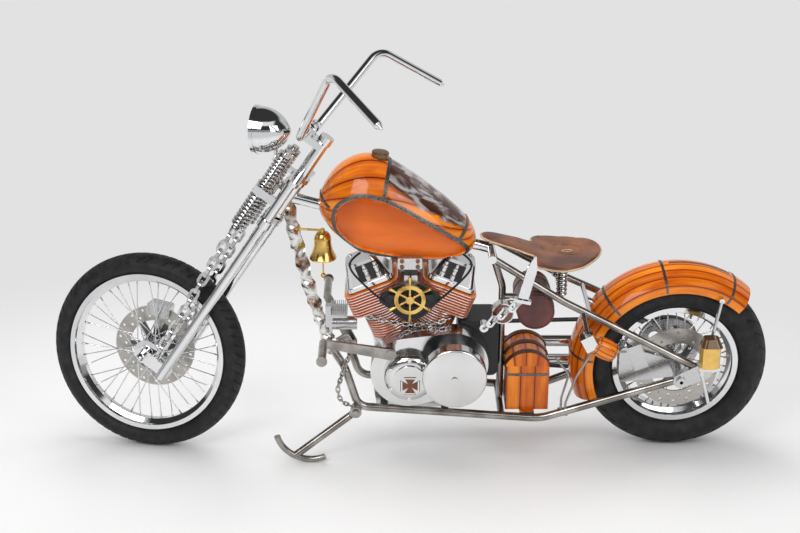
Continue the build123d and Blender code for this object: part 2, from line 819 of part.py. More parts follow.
def tank_form(inset):
    """The tank's form, drawn in by an inset on each side."""
    with BuildPart() as form:
        for x, top, bottom, wide, half in tank_rows:
            with BuildSketch(Plane(origin=(x, 0, wide), x_dir=(0, 1, 0), z_dir=(1, 0, 0))):
                with BuildLine():
                    EllipticalCenterArc((0, 0), half - inset, top - wide, start_angle=0, arc_size=180)
                    EllipticalCenterArc((0, 0), half - inset, wide - bottom, start_angle=180, arc_size=180)
                make_face()
        loft()
    return form


# A panel shaped like a drop is sunk into each side of the tank
with BuildPart() as tank_panels:
    with BuildSketch(Plane.XZ):
        with BuildLine():
            Spline(
                (1163, 884),
                (1148, 932),
                (1078, 970),
                (968, 940),
                (826, 847),
                (754, 786),
                (748, 748),
                (819, 749),
                (1008, 780),
                (1100, 806),
                (1150, 842),
                periodic=True,
            )
        make_face()
    extrude(amount=200, both=True)
    add(tank_form(panel_depth).part, mode=Mode.SUBTRACT)
with BuildPart() as tank:
    add(tank_form(0).part)
    add(tank_panels.part, mode=Mode.SUBTRACT)
    tunnel_run = backbone_end - backbone_front
    tunnel = Plane(origin=backbone_front, x_dir=(0, 1, 0), z_dir=tunnel_run)
    with BuildSketch(tunnel):
        Circle(backbone_radius + tank_tunnel)
        with Locations((0, 100)):
            Rectangle(2 * (backbone_radius + tank_tunnel), 200)
    extrude(amount=tunnel_run.length + 60, mode=Mode.SUBTRACT)
    add(backbone.part, mode=Mode.SUBTRACT)
keep(tank, "tank")

# Fuel cap
cap_z = 1046
with BuildPart() as fuel_cap:
    rod((cap_x, 0, cap_z - 12), (cap_x - 2, 0, cap_z + 22), cap_radius)
    add(tank.part, mode=Mode.SUBTRACT)
keep(fuel_cap, "fuel_cap")

# Seat: a long nose and a round dished pan, cut from a shell whose sides droop
seat_turn = radians(seat_tilt)
seat_run = Vector(cos(seat_turn), 0, sin(seat_turn))
seat_up = Vector(-sin(seat_turn), 0, cos(seat_turn))
seat_plane = Plane(origin=(seat_x, 0, seat_top), x_dir=seat_run, z_dir=seat_up)
with BuildPart() as seat:
    shell_end = Vector(seat_x, 0, seat_top) - seat_up * seat_curve - seat_run * 400
    with BuildSketch(Plane(origin=shell_end, x_dir=(0, 1, 0), z_dir=seat_run)):
        Circle(seat_curve)
        Circle(seat_curve - seat_thickness, mode=Mode.SUBTRACT)
    extrude(amount=900)
    with BuildSketch(seat_plane.offset(-100)):
        Circle(pan_radius)
        with BuildSketch(mode=Mode.PRIVATE) as nose_outline:
            Circle(80)
            with Locations((225, 0)):
                Circle(38)
            make_hull()
        add(nose_outline.sketch)
    extrude(amount=120, mode=Mode.INTERSECT)
    with Locations(seat_plane.offset(dish_radius - dish_depth)):
        Sphere(dish_radius, mode=Mode.SUBTRACT)
    add(backbone.part, mode=Mode.SUBTRACT)
keep(seat, "seat")

# Springs under the seat, on a cross bar between the top rails
bar_x = 408
bar_z = 598
with BuildPart() as seat_springs:
    for side in sides:
        coil_spring(Vector(bar_x, side * 78, 0), Vector(0, 0, 1), 19, bar_z + 6, 734, 9, 12)
    rod((bar_x, -120, bar_z), (bar_x, 120, bar_z), 8)
    rod((backbone_rear[0], 0, backbone_rear[1]), (backbone_rear[0], 0, seat_top + 20), 9)
    add(upper_rails.part, mode=Mode.SUBTRACT)
    add(backbone.part, mode=Mode.SUBTRACT)
    add(seat.part, mode=Mode.SUBTRACT)
keep(seat_springs, "seat_springs")

# Rear fender: a crowned sheet swept round the wheel
with BuildPart() as rear_fender:
    crown_line = fender_inner_crown + fender_thickness
    inside = fender_half_width - fender_thickness
    shoulder = crown_line - 44
    start_turn = radians(fender_front)
    start_dir = Vector(cos(start_turn), 0, sin(start_turn))
    with BuildSketch(Plane(origin=rear_axle, x_dir=start_dir, z_dir=start_dir.cross(Vector(0, 1, 0)))):
        with BuildLine():
            for half, top, corner in (
                (fender_half_width, crown_line, shoulder),
                (inside, fender_inner_crown, shoulder - 1),
            ):
                Line((fender_skirt, half), (corner, half))
                ThreePointArc((corner, half), (top, 0), (corner, -half))
                Line((corner, -half), (fender_skirt, -half))
            Line((fender_skirt, fender_half_width), (fender_skirt, inside))
            Line((fender_skirt, -fender_half_width), (fender_skirt, -inside))
        make_face()
    revolve(axis=Axis(rear_axle, (0, -1, 0)), revolution_arc=fender_rear - fender_front)
    with Locations((320, -fender_half_width, 326)):
        Box(180, 24, 300, mode=Mode.SUBTRACT)
keep(rear_fender, "rear_fender")

# Stays from the axle plates to the fender's skirts, and a bridge from rail to rail in front of it
bridge_x = 314
rail_share = (top_rail_bend[0] - bridge_x) / (top_rail_bend[0] - top_rail_rear[0])
bridge_y = top_rail_bend[1] + rail_share * (rail_rear_y - top_rail_bend[1])
bridge_z = top_rail_bend[2] + rail_share * (top_rail_rear[1] - top_rail_bend[2])
with BuildPart() as fender_stays:
    for side in sides:
        low_at = Vector(-84, side * 158, rear_radius + 66 + 14)
        high_at = Vector(-128, side * 116, 596)
        rod(low_at, high_at, 6)
        rod(high_at, Vector(high_at.X, side * (fender_half_width + seat_gap), high_at.Z), 9)
        rod(high_at, high_at + Vector(0, side * 6, 0), 9)
    bridge = Vector(bridge_x, 0, bridge_z)
    rod(bridge - Vector(0, bridge_y, 0), bridge + Vector(0, bridge_y, 0), 9)
    toward = (bridge - rear_axle).normalized()
    rod(bridge, rear_axle + toward * (fender_inner_crown + fender_thickness - 3), 14)
    add(axle_plates.part, mode=Mode.SUBTRACT)
    add(upper_rails.part, mode=Mode.SUBTRACT)
    add(rear_fender.part, mode=Mode.SUBTRACT)
keep(fender_stays, "fender_stays")

# Engine: crankcase, finned barrels and heads at 45 degrees, rocker boxes
with BuildPart() as crankcase:
    with BuildSketch(side_plane(crank_x, crank_z, -case_half)):
        with BuildSketch(mode=Mode.PRIVATE) as case_outline:
            Circle(132)
            with Locations((-90, -95), (120, -95)):
                Rectangle(50, 60)
            make_hull()
        add(case_outline.sketch)
    extrude(amount=2 * case_half)
    for side in sides:
        lean_of = side * vee / 2
        axis = Vector(sin(radians(lean_of)), 0, cos(radians(lean_of)))
        start = Vector(crank_x, 0, crank_z)
        rod(start, start + axis * (barrel_start - seat_gap), barrel_core + 12)
keep(crankcase, "crankcase")

barrels = []
with BuildPart() as cylinders:
    for side in sides:
        lean_of = radians(side * vee / 2)
        axis = Vector(sin(lean_of), 0, cos(lean_of))
        start = Vector(crank_x, 0, crank_z)
        pitch_step = (barrel_end - barrel_start) / barrel_fins
        with BuildSketch(Plane(origin=start, x_dir=axis, z_dir=axis.cross(Vector(0, 1, 0)))) as comb:
            with BuildLine():
                comb_points = [(barrel_start, 0)]
                for index in range(barrel_fins):
                    level = barrel_start + index * pitch_step
                    comb_points += [
                        (level, barrel_core),
                        (level + pitch_step - fin_thickness, barrel_core),
                        (level + pitch_step - fin_thickness, barrel_radius),
                        (level + pitch_step, barrel_radius),
                    ]
                comb_points += [(barrel_end, 0)]
                Polyline(*comb_points, close=True)
            make_face()
        revolve(axis=Axis(start, axis))
    with Locations((crank_x, 0, crank_z + 150)):
        Box(3, 300, 400, mode=Mode.SUBTRACT)
keep(cylinders, "cylinders")

with BuildPart() as heads:
    for side in sides:
        lean_of = radians(side * vee / 2)
        axis = Vector(sin(lean_of), 0, cos(lean_of))
        start = Vector(crank_x, 0, crank_z)
        pitch_step = (head_end - head_start) / head_fins
        base = Plane(origin=start, x_dir=(0, 1, 0), z_dir=axis)
        with BuildSketch(base.offset(head_start)):
            RectangleRounded(head_width - 40, head_length - 44, 20)
        extrude(amount=head_end - head_start)
        for index in range(head_fins):
            with BuildSketch(base.offset(head_start + index * pitch_step)):
                RectangleRounded(head_width, head_length, 34)
            extrude(amount=fin_thickness)
keep(heads, "heads")

with BuildPart() as rocker_boxes:
    for side in sides:
        lean_of = radians(side * vee / 2)
        axis = Vector(sin(lean_of), 0, cos(lean_of))
        base = Plane(origin=Vector(crank_x, 0, crank_z), x_dir=(0, 1, 0), z_dir=axis)
        with BuildSketch(base.offset(rocker_box_start)):
            RectangleRounded(head_width - 26, head_length - 24, 24)
        extrude(amount=14)
        with BuildSketch(base.offset(rocker_box_start + 14)):
            RectangleRounded(head_width - 38, head_length - 40, 22)
        with BuildSketch(base.offset(rocker_box_end)):
            RectangleRounded(head_width - 60, head_length - 88, 22)
        loft()
keep(rocker_boxes, "rocker_boxes")

# Primary side on the left: inner case, engine cover with a cross, and the clutch drum
with BuildPart() as primary_case:
    with BuildSketch(side_plane(crank_x + 8, crank_z + 45, case_half + seat_gap)):
        with BuildSketch(mode=Mode.PRIVATE) as primary_outline:
            Circle(128)
            with Locations((crank_x + 8 - clutch_x, clutch_z - crank_z - 45)):
                Circle(118)
            make_hull()
        add(primary_outline.sketch)
    extrude(amount=primary_y - case_half - seat_gap)
keep(primary_case, "primary_case")

with BuildPart() as engine_cover:
    cover_plane = Plane(origin=(cover_x, 0, cover_z), x_dir=(0, 0, 1), z_dir=(-1, 0, 0))
    cover_start = primary_y + seat_gap
    with BuildSketch(cover_plane):
        with BuildLine():
            Polyline((0, cover_start), (cover_radius, cover_start), (cover_radius, cover_start + 24))
            ThreePointArc((cover_radius, cover_start + 24), (70, cover_start + 42), (54, cover_start + 46))
            Polyline((54, cover_start + 46), (54, cover_start + 53), (0, cover_start + 53), (0, cover_start))
        make_face()
    revolve(axis=Axis((cover_x, 0, cover_z), (0, 1, 0)))
keep(engine_cover, "engine_cover")

with BuildPart() as clutch_drum:
    with BuildSketch(Plane(origin=(clutch_x, 0, clutch_z), x_dir=(0, 0, 1), z_dir=(-1, 0, 0))):
        with BuildLine():
            Polyline((0, cover_start), (60, cover_start), (60, 210), (clutch_radius, 210), (clutch_radius, 250))
            ThreePointArc((clutch_radius, 250), (clutch_radius - 2, 256), (clutch_radius - 8, 259))
            ThreePointArc((clutch_radius - 8, 259), (54, 265), (12, 267))
            Polyline((12, 267), (12, 272), (0, 272), (0, cover_start))
        make_face()
    revolve(axis=Axis((clutch_x, 0, clutch_z), (0, 1, 0)))
keep(clutch_drum, "clutch_drum")

# Gearbox behind the engine, with its belt sprocket on the right
with BuildPart() as gearbox:
    with Locations((685, 0, 396)):
        Box(140, 2 * (case_half - 6), 208)
    fillet(gearbox.edges().filter_by(Axis.Y), 24)
    with Locations((776, 0, 340)):
        Box(90, 110, 80)
    with BuildSketch(side_plane(sprocket_x, sprocket_z, belt_y - belt_width / 2)):
        Circle(sprocket_radius)
    extrude(amount=-belt_y + belt_width / 2 - case_half + 6)
    add(crankcase.part, mode=Mode.SUBTRACT)
keep(gearbox, "gearbox")

# Oil tank shaped as a chest with a vaulted lid, and the round tool drum above it
with BuildPart() as oil_chest:
    with BuildSketch(side_plane(514, 176, -86)):
        with BuildLine():
            Polyline((-74, 172), (-74, 0), (74, 0), (74, 172))
            ThreePointArc((74, 172), (0, 218), (-74, 172))
        make_face()
    extrude(amount=186)
    with Locations((514, 0, 176)):
        Box(50, 2 * low_rail_y, 8, align=(mid, mid, Align.MAX))
    add(lower_rails.part, mode=Mode.SUBTRACT)
keep(oil_chest, "oil_chest")

with BuildPart() as tool_drum:
    rod((496, -92, 558), (496, 124, 558), 64)
    with Locations((575, 0, 558)):
        Box(40, 60, 20)
    add(seat_post.part, mode=Mode.SUBTRACT)
keep(tool_drum, "tool_drum")

# Mounts between the low rails and the engine
with BuildPart() as engine_mounts:
    for mount_x, mount_z in ((1007, 200), (797, 186)):
        for side in sides:
            rod((mount_x, side * (case_half + seat_gap), mount_z), (mount_x, side * low_rail_y, mount_z), 13)
    add(lower_rails.part, mode=Mode.SUBTRACT)
    add(crankcase.part, mode=Mode.SUBTRACT)
keep(engine_mounts, "engine_mounts")

# Right side of the engine: cam cover with four pushrod tubes
vee_turn = radians(vee / 2)
with BuildPart() as cam_cover:
    rod((905, -case_half - seat_gap, 310), (905, -112, 310), 95)
    rod((905, -112, 310), (905, -120, 310), 62)
    for side in sides:
        for foot, across in ((34, 16), (14, 52)):
            top_x = crank_x + side * (348 * sin(vee_turn) - across * cos(vee_turn))
            top_z = crank_z + 348 * cos(vee_turn) + across * sin(vee_turn)
            rod((crank_x + side * foot, tube_y, 380), (top_x, tube_y, top_z), 8)
            rod((top_x, tube_y - 10, top_z), (top_x, -head_width / 2 - seat_gap, top_z), 12)
keep(cam_cover, "cam_cover")

# Intake: manifold between the heads, carburettor and round air cleaner on the right
with BuildPart() as carburettor:
    with Locations((crank_x, -58, 625)):
        Box(62, 40, 26)
    rod((crank_x, -40, 625), (crank_x, -110, 625), 17)
    with Locations((crank_x, -128, 625)):
        Box(58, 44, 62)
    rod((crank_x, -150, 620), (crank_x, -182, 620), 68)
    rod((crank_x, -182, 620), (crank_x, -190, 620), 40)
    add(heads.part, mode=Mode.SUBTRACT)
keep(carburettor, "carburettor")

# Exhausts: a pipe from each head, down and back along the right side
with BuildPart() as exhausts:
    for port_x, bend_x, run_z, end_x in ((1073, 1010, 225, 220), (761, 700, 300, 230)):
        with BuildLine(mode=Mode.PRIVATE) as pipe_line:
            FilletPolyline(
                (port_x, -head_width / 2 - seat_gap, port_z),
                (port_x, -pipe_y, port_z),
                (bend_x, -pipe_y, run_z),
                (end_x, -pipe_y, run_z),
                radius=[56, 100],
            )
        tube(pipe_line.line, pipe_radius)
        rod((port_x, -head_width / 2 - seat_gap, port_z), (port_x, -head_width / 2 - 9, port_z), 31)
        rod((end_x - 1, -pipe_y, run_z), (end_x + 60, -pipe_y, run_z), pipe_radius - 3, mode=Mode.SUBTRACT)
keep(exhausts, "exhausts")

# Foot controls: an arm and a peg on each side
with BuildPart() as foot_controls:
    for side, foot_x, foot_height, inner_y, arm_y in ((1, 985, 440, primary_y + seat_gap, 194),
                                                   (-1, 1124, 300, low_rail_y, 176)):
        rod((foot_x, side * inner_y, foot_height), (foot_x, side * (arm_y + 14), foot_height), 17)
        reach_x = 1209 - foot_x
        reach_z = 480 - foot_height
        with BuildSketch(side_plane(foot_x, foot_height, side * (arm_y + 6) - 6)):
            with BuildSketch(mode=Mode.PRIVATE) as arm_outline:
                Circle(20)
                with Locations((-reach_x, reach_z)):
                    Circle(14)
                make_hull()
            add(arm_outline.sketch)
        extrude(amount=12)
        rod((1209, side * arm_y, 480), (1209, side * 330, 480), 14)
        rod((1209, side * 330, 480), (1209, side * 336, 480), 18)
    add(lower_rails.part, mode=Mode.SUBTRACT)
keep(foot_controls, "foot_controls")

# Regulator with cooling fins and a coil below it, behind the downtube
with BuildPart() as regulator:
    with Locations((1161, 0, 506)):
        Box(58, 92, 12)
    with Locations(*[(1134 + 6.75 * index, 0, 519) for index in range(9)]):
        Box(3, 92, 16)
    rod((1100, 0, 462), (1186, 0, 462), 24)
    with Locations((1196, 0, 482)):
        Box(24, 30, 96)
    with Locations((1180, 0, 506)):
        Box(40, 30, 12)
    add(downtube.part, mode=Mode.SUBTRACT)
keep(regulator, "regulator")

# Timing block between the heads on the left, with a plate that carries the wheel below it
with BuildPart() as timing_block:
    with Locations((920, 117, 741)):
        Box(81, 38, 38)
    fillet(timing_block.edges().filter_by(Axis.Y), 5)
    with Locations((917, 132, 660)):
        Box(44, 8, 150)
    with Locations((917, 123, 612)):
        Box(148, 10, 22)
    for side in sides:
        rod((crank_x + side * 66, head_width / 2 + seat_gap, 612), (crank_x + side * 66, 120, 612), 8)
keep(timing_block, "timing_block")

# A ship's wheel on that plate: hub, six spokes with handles, and the ring
with BuildPart() as ships_wheel:
    wheel_at = Vector(920, 158, 621)
    rod(wheel_at - Vector(0, 22 - seat_gap, 0), wheel_at + Vector(0, 8, 0), 14)
    with BuildSketch(side_plane(wheel_at.X, wheel_at.Z, wheel_at.Y - 5)):
        Circle(52)
        Circle(39, mode=Mode.SUBTRACT)
    extrude(amount=10)
    for index in range(6):
        turn = radians(30 + 60 * index)
        out = Vector(cos(turn), 0, sin(turn))
        rod(wheel_at, wheel_at + out * 60, 4)
        with Locations(Plane(origin=wheel_at + out * 56, z_dir=out)):
            Cone(4, 6.5, 19, align=standing)
            with Locations((0, 0, 19)):
                Sphere(6.5)
keep(ships_wheel, "ships_wheel")

# Bell under the front of the tank, hung on a rod from the downtube, with its pull
with BuildPart() as bell:
    bell_x = 1213
    with BuildSketch(Plane(origin=(bell_x, 0, 0), x_dir=(1, 0, 0), z_dir=(0, -1, 0))):
        with BuildLine():
            Polyline((0, 812), (7, 812), (9, 800), (20, 797))
            ThreePointArc((20, 797), (27, 786), (29, 768))
            ThreePointArc((29, 768), (33, 738), (45.5, 710))
            Polyline((45.5, 710), (45.5, 705), (42, 705))
            ThreePointArc((42, 705), (29.5, 738), (25.5, 768))
            ThreePointArc((25.5, 768), (23, 784), (16, 791))
            Polyline((16, 791), (0, 791), (0, 812))
        make_face()
    revolve(axis=Axis((bell_x, 0, 0), (0, 0, 1)))
    rod((1312, 0, 812), (bell_x, 0, 806), 4)
    rod((bell_x, 0, 795), (bell_x, 0, 640), 2.5)
    with Locations((bell_x, 0, 712), (bell_x, 0, 640)):
        Sphere(9)
    add(downtube.part, mode=Mode.SUBTRACT)
keep(bell, "bell")

# A small barrel on a chrome block, on a strut from the left top rail
with BuildPart() as canister_block:
    with Locations(Location((322, 198, 486), (0, 28, 0))):
        Box(44, 50, 52)
    rod((326, 196, 500), (338, 126, 563), 8)
    add(upper_rails.part, mode=Mode.SUBTRACT)
keep(canister_block, "canister_block")

with BuildPart() as canister:
    barrel_end_at = Vector(301, 198, 474.9)
    barrel_run = Vector(-sin(radians(62)), 0, -cos(radians(62)))
    with BuildSketch(Plane(origin=barrel_end_at, x_dir=barrel_run, z_dir=(0, 1, 0))):
        with BuildLine():
            Polyline((74, 0), (0, 0), (0, 30))
            ThreePointArc((0, 30), (37, 36), (74, 30))
            Line((74, 30), (74, 0))
        make_face()
    revolve(axis=Axis(barrel_end_at, barrel_run))
    add(canister_block.part, mode=Mode.SUBTRACT)
keep(canister, "canister")

# Rear calliper on its plate, held on the axle beside the disc
with BuildPart() as rear_brake:
    plate_at = rear_disc_y + disc_thickness / 2 + 5
    with BuildSketch(side_plane(0, rear_radius, plate_at)):
        with BuildSketch(mode=Mode.PRIVATE) as brake_outline:
            Circle(28)
            with Locations((-178, 62), (-178, -30)):
                Circle(20)
            make_hull()
        add(brake_outline.sketch)
    extrude(amount=9)
    with Locations(Location((137, rear_disc_y + 2, rear_radius + 50), (0, 20, 0))):
        Box(48, 56, 92)
    rod((0, rear_disc_y - 6, rear_radius), (0, rear_disc_y + 6, rear_radius), disc_radius + 3,
        mode=Mode.SUBTRACT)
    rod((0, plate_at, rear_radius), (0, rail_rear_y - plate_thickness / 2 - 6, rear_radius), 17)
    rod((0, 0, rear_radius), (0, 200, rear_radius), axle_radius + seat_gap, mode=Mode.SUBTRACT)
keep(rear_brake, "rear_brake")

# Lantern-shaped tail lamp on the left, on a strut from the axle plate
with BuildPart() as tail_lamp:
    with BuildSketch(Plane(origin=(-91, 196, 392), x_dir=(1, 0, 0), z_dir=(0, 0, 1))):
        with BuildSketch(mode=Mode.PRIVATE) as lamp_outline:
            Circle(30)
            with Locations((24, 0)):
                Rectangle(20, 60)
            make_hull()
        add(lamp_outline.sketch)
    extrude(amount=78)
    with BuildSketch(Plane(origin=(-88, 196, 470), x_dir=(1, 0, 0), z_dir=(0, 0, 1))):
        RectangleRounded(72, 64, 16)
    with BuildSketch(Plane(origin=(-86, 196, 498), x_dir=(1, 0, 0), z_dir=(0, 0, 1))):
        RectangleRounded(50, 40, 14)
    loft()
    with Locations((-86, 196, 386)):
        Box(70, 38, 12)
    rod((-66, rail_rear_y + plate_thickness / 2 + seat_gap, 357), (-66, 190, 357), 7)
    rod((-66, 184, 352), (-66, 184, 384), 7)
    rod((-66, 184, 357), (-96, 184, 245), 6)
keep(tail_lamp, "tail_lamp")

# Hand shifter: a stiff chain up from the gearbox to a dagger-shaped handle
with BuildPart() as shift_lever:
    lever_foot = Vector(668, 94, 490)
    lever_head = Vector(552, 240, 657)
    rod((lever_foot.X, case_half - 6 + seat_gap, lever_foot.Z), (lever_foot.X, 106, lever_foot.Z), 15)
    chain(lever_foot, lever_head, lever_links, lever_wire, lever_half_width)
    blade_run = Vector(-35, 20, 162).normalized()
    with Locations(Plane(origin=lever_head - blade_run * 8, x_dir=(0, 1, 0), z_dir=blade_run)):
        Box(20, 54, 12, align=standing)
        Box(9, 33, 130, align=standing)
    blade = Plane(origin=lever_head + blade_run * 122, x_dir=(0, 1, 0), z_dir=blade_run)
    with BuildSketch(blade):
        Rectangle(9, 33)
    with BuildSketch(blade.offset(46)):
        Rectangle(3, 5)
    loft()
keep(shift_lever, "shift_lever")

# Horn: a round face on an arm from the seat post
with BuildPart() as horn:
    rod((post_x + 4, 0, 547), (post_x + 4, 80, 547), 9)
    rod((post_x + 4, 78, 547), (post_x + 4, 112, 547), 38)
    rod((post_x + 4, 112, 547), (post_x + 4, 120, 547), 16)
    add(seat_post.part, mode=Mode.SUBTRACT)
    add(tool_drum.part, mode=Mode.SUBTRACT)
keep(horn, "horn")

# Brake hoses from the tap on the left low rail to the calliper and up to the chest
with BuildPart() as brake_hoses:
    hose_routes = (
        ((384, 128, 180), (384, 140, 224), (352, 150, 330), (300, 128, 410), (180, 100, 398)),
        ((398, 124, 180), (398, 128, 236), (376, 134, 330), (420, 96, 372)),
    )
    for route in hose_routes:
        with BuildLine(mode=Mode.PRIVATE) as hose_line:
            FilletPolyline(*route, radius=22)
        tube(hose_line.line, 4)
    with Locations((391, 122, 178)):
        Box(34, 26, 18)
    add(lower_rails.part, mode=Mode.SUBTRACT)
    add(rear_brake.part, mode=Mode.SUBTRACT)
    add(oil_chest.part, mode=Mode.SUBTRACT)
keep(brake_hoses, "brake_hoses")

# Side stand: a leg on a pivot lug, with an anchor-shaped foot whose lowest point is on the ground
foot_rise = sin(radians(pitch)) * foot_low_x + cos(radians(pitch)) * sin(radians(lean)) * foot_y
foot_z = (foot_radius - lift + foot_rise) / (cos(radians(pitch)) * cos(radians(lean)))
foot_centre = Vector(foot_low_x, foot_y, foot_z + anchor_radius)
crown_turn = radians(anchor_crown)
crown_at = foot_centre + Vector(sin(crown_turn), 0, -cos(crown_turn)) * anchor_radius
stand_pivot = Vector(stand_x, stand_y, stand_z)
with BuildPart() as side_stand:
    boss = Vector(0, stand_lug / 2, 0)
    rod(stand_pivot - boss + Vector(0, seat_gap, 0), stand_pivot + boss, 20)
    rod(stand_pivot, crown_at, stand_radius)
    foot_plane = Plane(origin=foot_centre, x_dir=(1, 0, 0), z_dir=(0, -1, 0))
    with BuildLine(foot_plane, mode=Mode.PRIVATE) as anchor:
        CenterArc((0, 0), anchor_radius, -90 - anchor_rear, anchor_rear + anchor_front)
    tube(anchor.line, foot_radius)
    rod(stand_pivot - boss * 3, stand_pivot - boss + Vector(0, seat_gap, 0), 30, mode=Mode.SUBTRACT)
    rod(stand_pivot + boss, stand_pivot + boss * 3, 24, mode=Mode.SUBTRACT)
    rod(stand_pivot - boss * 2, stand_pivot + boss * 2, stand_pin + running_fit, mode=Mode.SUBTRACT)
keep(side_stand, "side_stand")

# The finished machine is centred on its plan and written piece by piece
boxes = [piece.bounding_box() for piece in finished]
middle_x = (min(box.min.X for box in boxes) + max(box.max.X for box in boxes)) / 2
middle_y = (min(box.min.Y for box in boxes) + max(box.max.Y for box in boxes)) / 2
centred = Pos(-middle_x, -middle_y, -min(box.min.Z for box in boxes))
os.makedirs("parts", exist_ok=True)
for piece in finished:
    placed = piece.moved(centred)
    placed.label = piece.label
    export_step(placed, f"parts/{piece.label}.step")
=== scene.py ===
import json
from math import atan2, cos, hypot, pi, radians, sin, sqrt

import bpy
import numpy as np
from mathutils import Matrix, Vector
from mathutils.bvhtree import BVHTree


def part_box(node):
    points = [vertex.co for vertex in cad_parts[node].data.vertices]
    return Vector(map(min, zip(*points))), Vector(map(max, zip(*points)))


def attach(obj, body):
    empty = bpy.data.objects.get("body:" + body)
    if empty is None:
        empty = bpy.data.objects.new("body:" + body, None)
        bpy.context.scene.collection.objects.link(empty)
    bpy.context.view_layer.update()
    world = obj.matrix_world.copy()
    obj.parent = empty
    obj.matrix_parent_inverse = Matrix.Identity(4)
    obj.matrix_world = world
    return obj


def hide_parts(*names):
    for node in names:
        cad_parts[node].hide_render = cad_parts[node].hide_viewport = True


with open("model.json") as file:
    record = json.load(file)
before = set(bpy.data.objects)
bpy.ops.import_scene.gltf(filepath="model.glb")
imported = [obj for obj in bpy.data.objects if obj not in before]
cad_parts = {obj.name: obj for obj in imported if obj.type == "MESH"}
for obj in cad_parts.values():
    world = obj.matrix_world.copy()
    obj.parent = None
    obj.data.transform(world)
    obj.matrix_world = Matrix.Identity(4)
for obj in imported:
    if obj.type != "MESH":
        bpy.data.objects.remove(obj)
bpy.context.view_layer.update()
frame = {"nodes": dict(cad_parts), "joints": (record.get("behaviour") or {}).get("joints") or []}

# Stage: a pale seamless floor, soft studio light and a white background.
# The camera stands where the photograph's did, measured from the ground under the rear axle.
CAMERA_PLACE, CAMERA_TARGET = Vector((0.98296, 5.29866, 2.11511)), Vector((0.95141, 0, 0.64123))
FOCAL_LENGTH = 71.511
AXLE_SHIFT = 0.0449
FLOOR_HALF = 40
BACKGROUND = (0.76, 0.76, 0.765, 1.0)
LAMPS = (
    ("key_light", (1.8, 3.6, 3.4), 2.6, 95),
    ("fill_light", (-2.4, 3.0, 2.2), 2.2, 45),
    ("top_light", (0.0, -0.6, 3.6), 3.0, 70),
    ("back_light", (1.2, -3.4, 2.4), 2.4, 45),
)
LAMP_TARGET = Vector((0, 0, 0.6))

joints = {joint["name"]: joint for joint in frame["joints"]}
rear_low, rear_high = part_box("rear_tyre")
rear_axle = (rear_low + rear_high) / 2
ground = Vector((rear_axle.x, rear_axle.y - AXLE_SHIFT, 0.0))


def placed(name, data):
    """A new object in the scene with that data."""
    made = bpy.data.objects.new(name, data)
    bpy.context.collection.objects.link(made)
    return made


camera_data = bpy.data.cameras.new("camera")
camera = placed("camera", camera_data)
bpy.context.scene.camera = camera
camera_data.lens = FOCAL_LENGTH
camera_data.sensor_width = 36
camera_data.clip_start = 0.1
camera.location = ground + CAMERA_PLACE
look = ground + CAMERA_TARGET - camera.location
camera.rotation_euler = look.to_track_quat("-Z", "Y").to_euler()
bpy.context.scene.view_settings.view_transform = "Standard"

floor_mesh = bpy.data.meshes.new("floor")
corners = [(x * FLOOR_HALF, y * FLOOR_HALF, 0) for x, y in ((-1, -1), (1, -1), (1, 1), (-1, 1))]
floor_mesh.from_pydata(corners, [], [(0, 1, 2, 3)])
floor = placed("floor", floor_mesh)


def link(tree, value, slot):
    """Sets a node's input to a number, a colour, a vector or another node's output."""
    if isinstance(value, Value):
        tree.links.new(value.socket, slot)
    elif isinstance(value, (tuple, list)) and slot.type == "RGBA" and len(value) == 3:
        slot.default_value = (*value, 1)
    else:
        slot.default_value = value


class Value:
    """A shader value that can be added, multiplied and compared like a number."""

    def __init__(self, tree, socket):
        self.tree = tree
        self.socket = socket

    def math(self, operation, *others):
        node = self.tree.nodes.new("ShaderNodeMath")
        node.operation = operation
        for value, slot in zip((self, *others), node.inputs):
            link(self.tree, value, slot)
        return Value(self.tree, node.outputs[0])

    def __add__(self, other):
        return self.math("ADD", other)

    def __sub__(self, other):
        return self.math("SUBTRACT", other)

    def __mul__(self, other):
        return self.math("MULTIPLY", other)

    def __truediv__(self, other):
        return self.math("DIVIDE", other)

    def __rsub__(self, other):
        return self * -1 + other

    __radd__ = __add__
    __rmul__ = __mul__

    def far(self, other):
        """Distance from an axis, where this and the other are the places across it."""
        return (self * self + other * other).math("SQRT")

    def step(self, low, high):
        """Rises smoothly from 0 at low to 1 at high."""
        node = self.tree.nodes.new("ShaderNodeMapRange")
        node.interpolation_type = "SMOOTHSTEP"
        for value, slot in zip((self, low, high, 0.0, 1.0), node.inputs):
            link(self.tree, value, slot)
        return Value(self.tree, node.outputs[0])

    def band(self, middle, half, soft):
        """1 within half of middle, falling to 0 over soft."""
        return 1 - (self - middle).math("ABSOLUTE").step(half, half + soft)


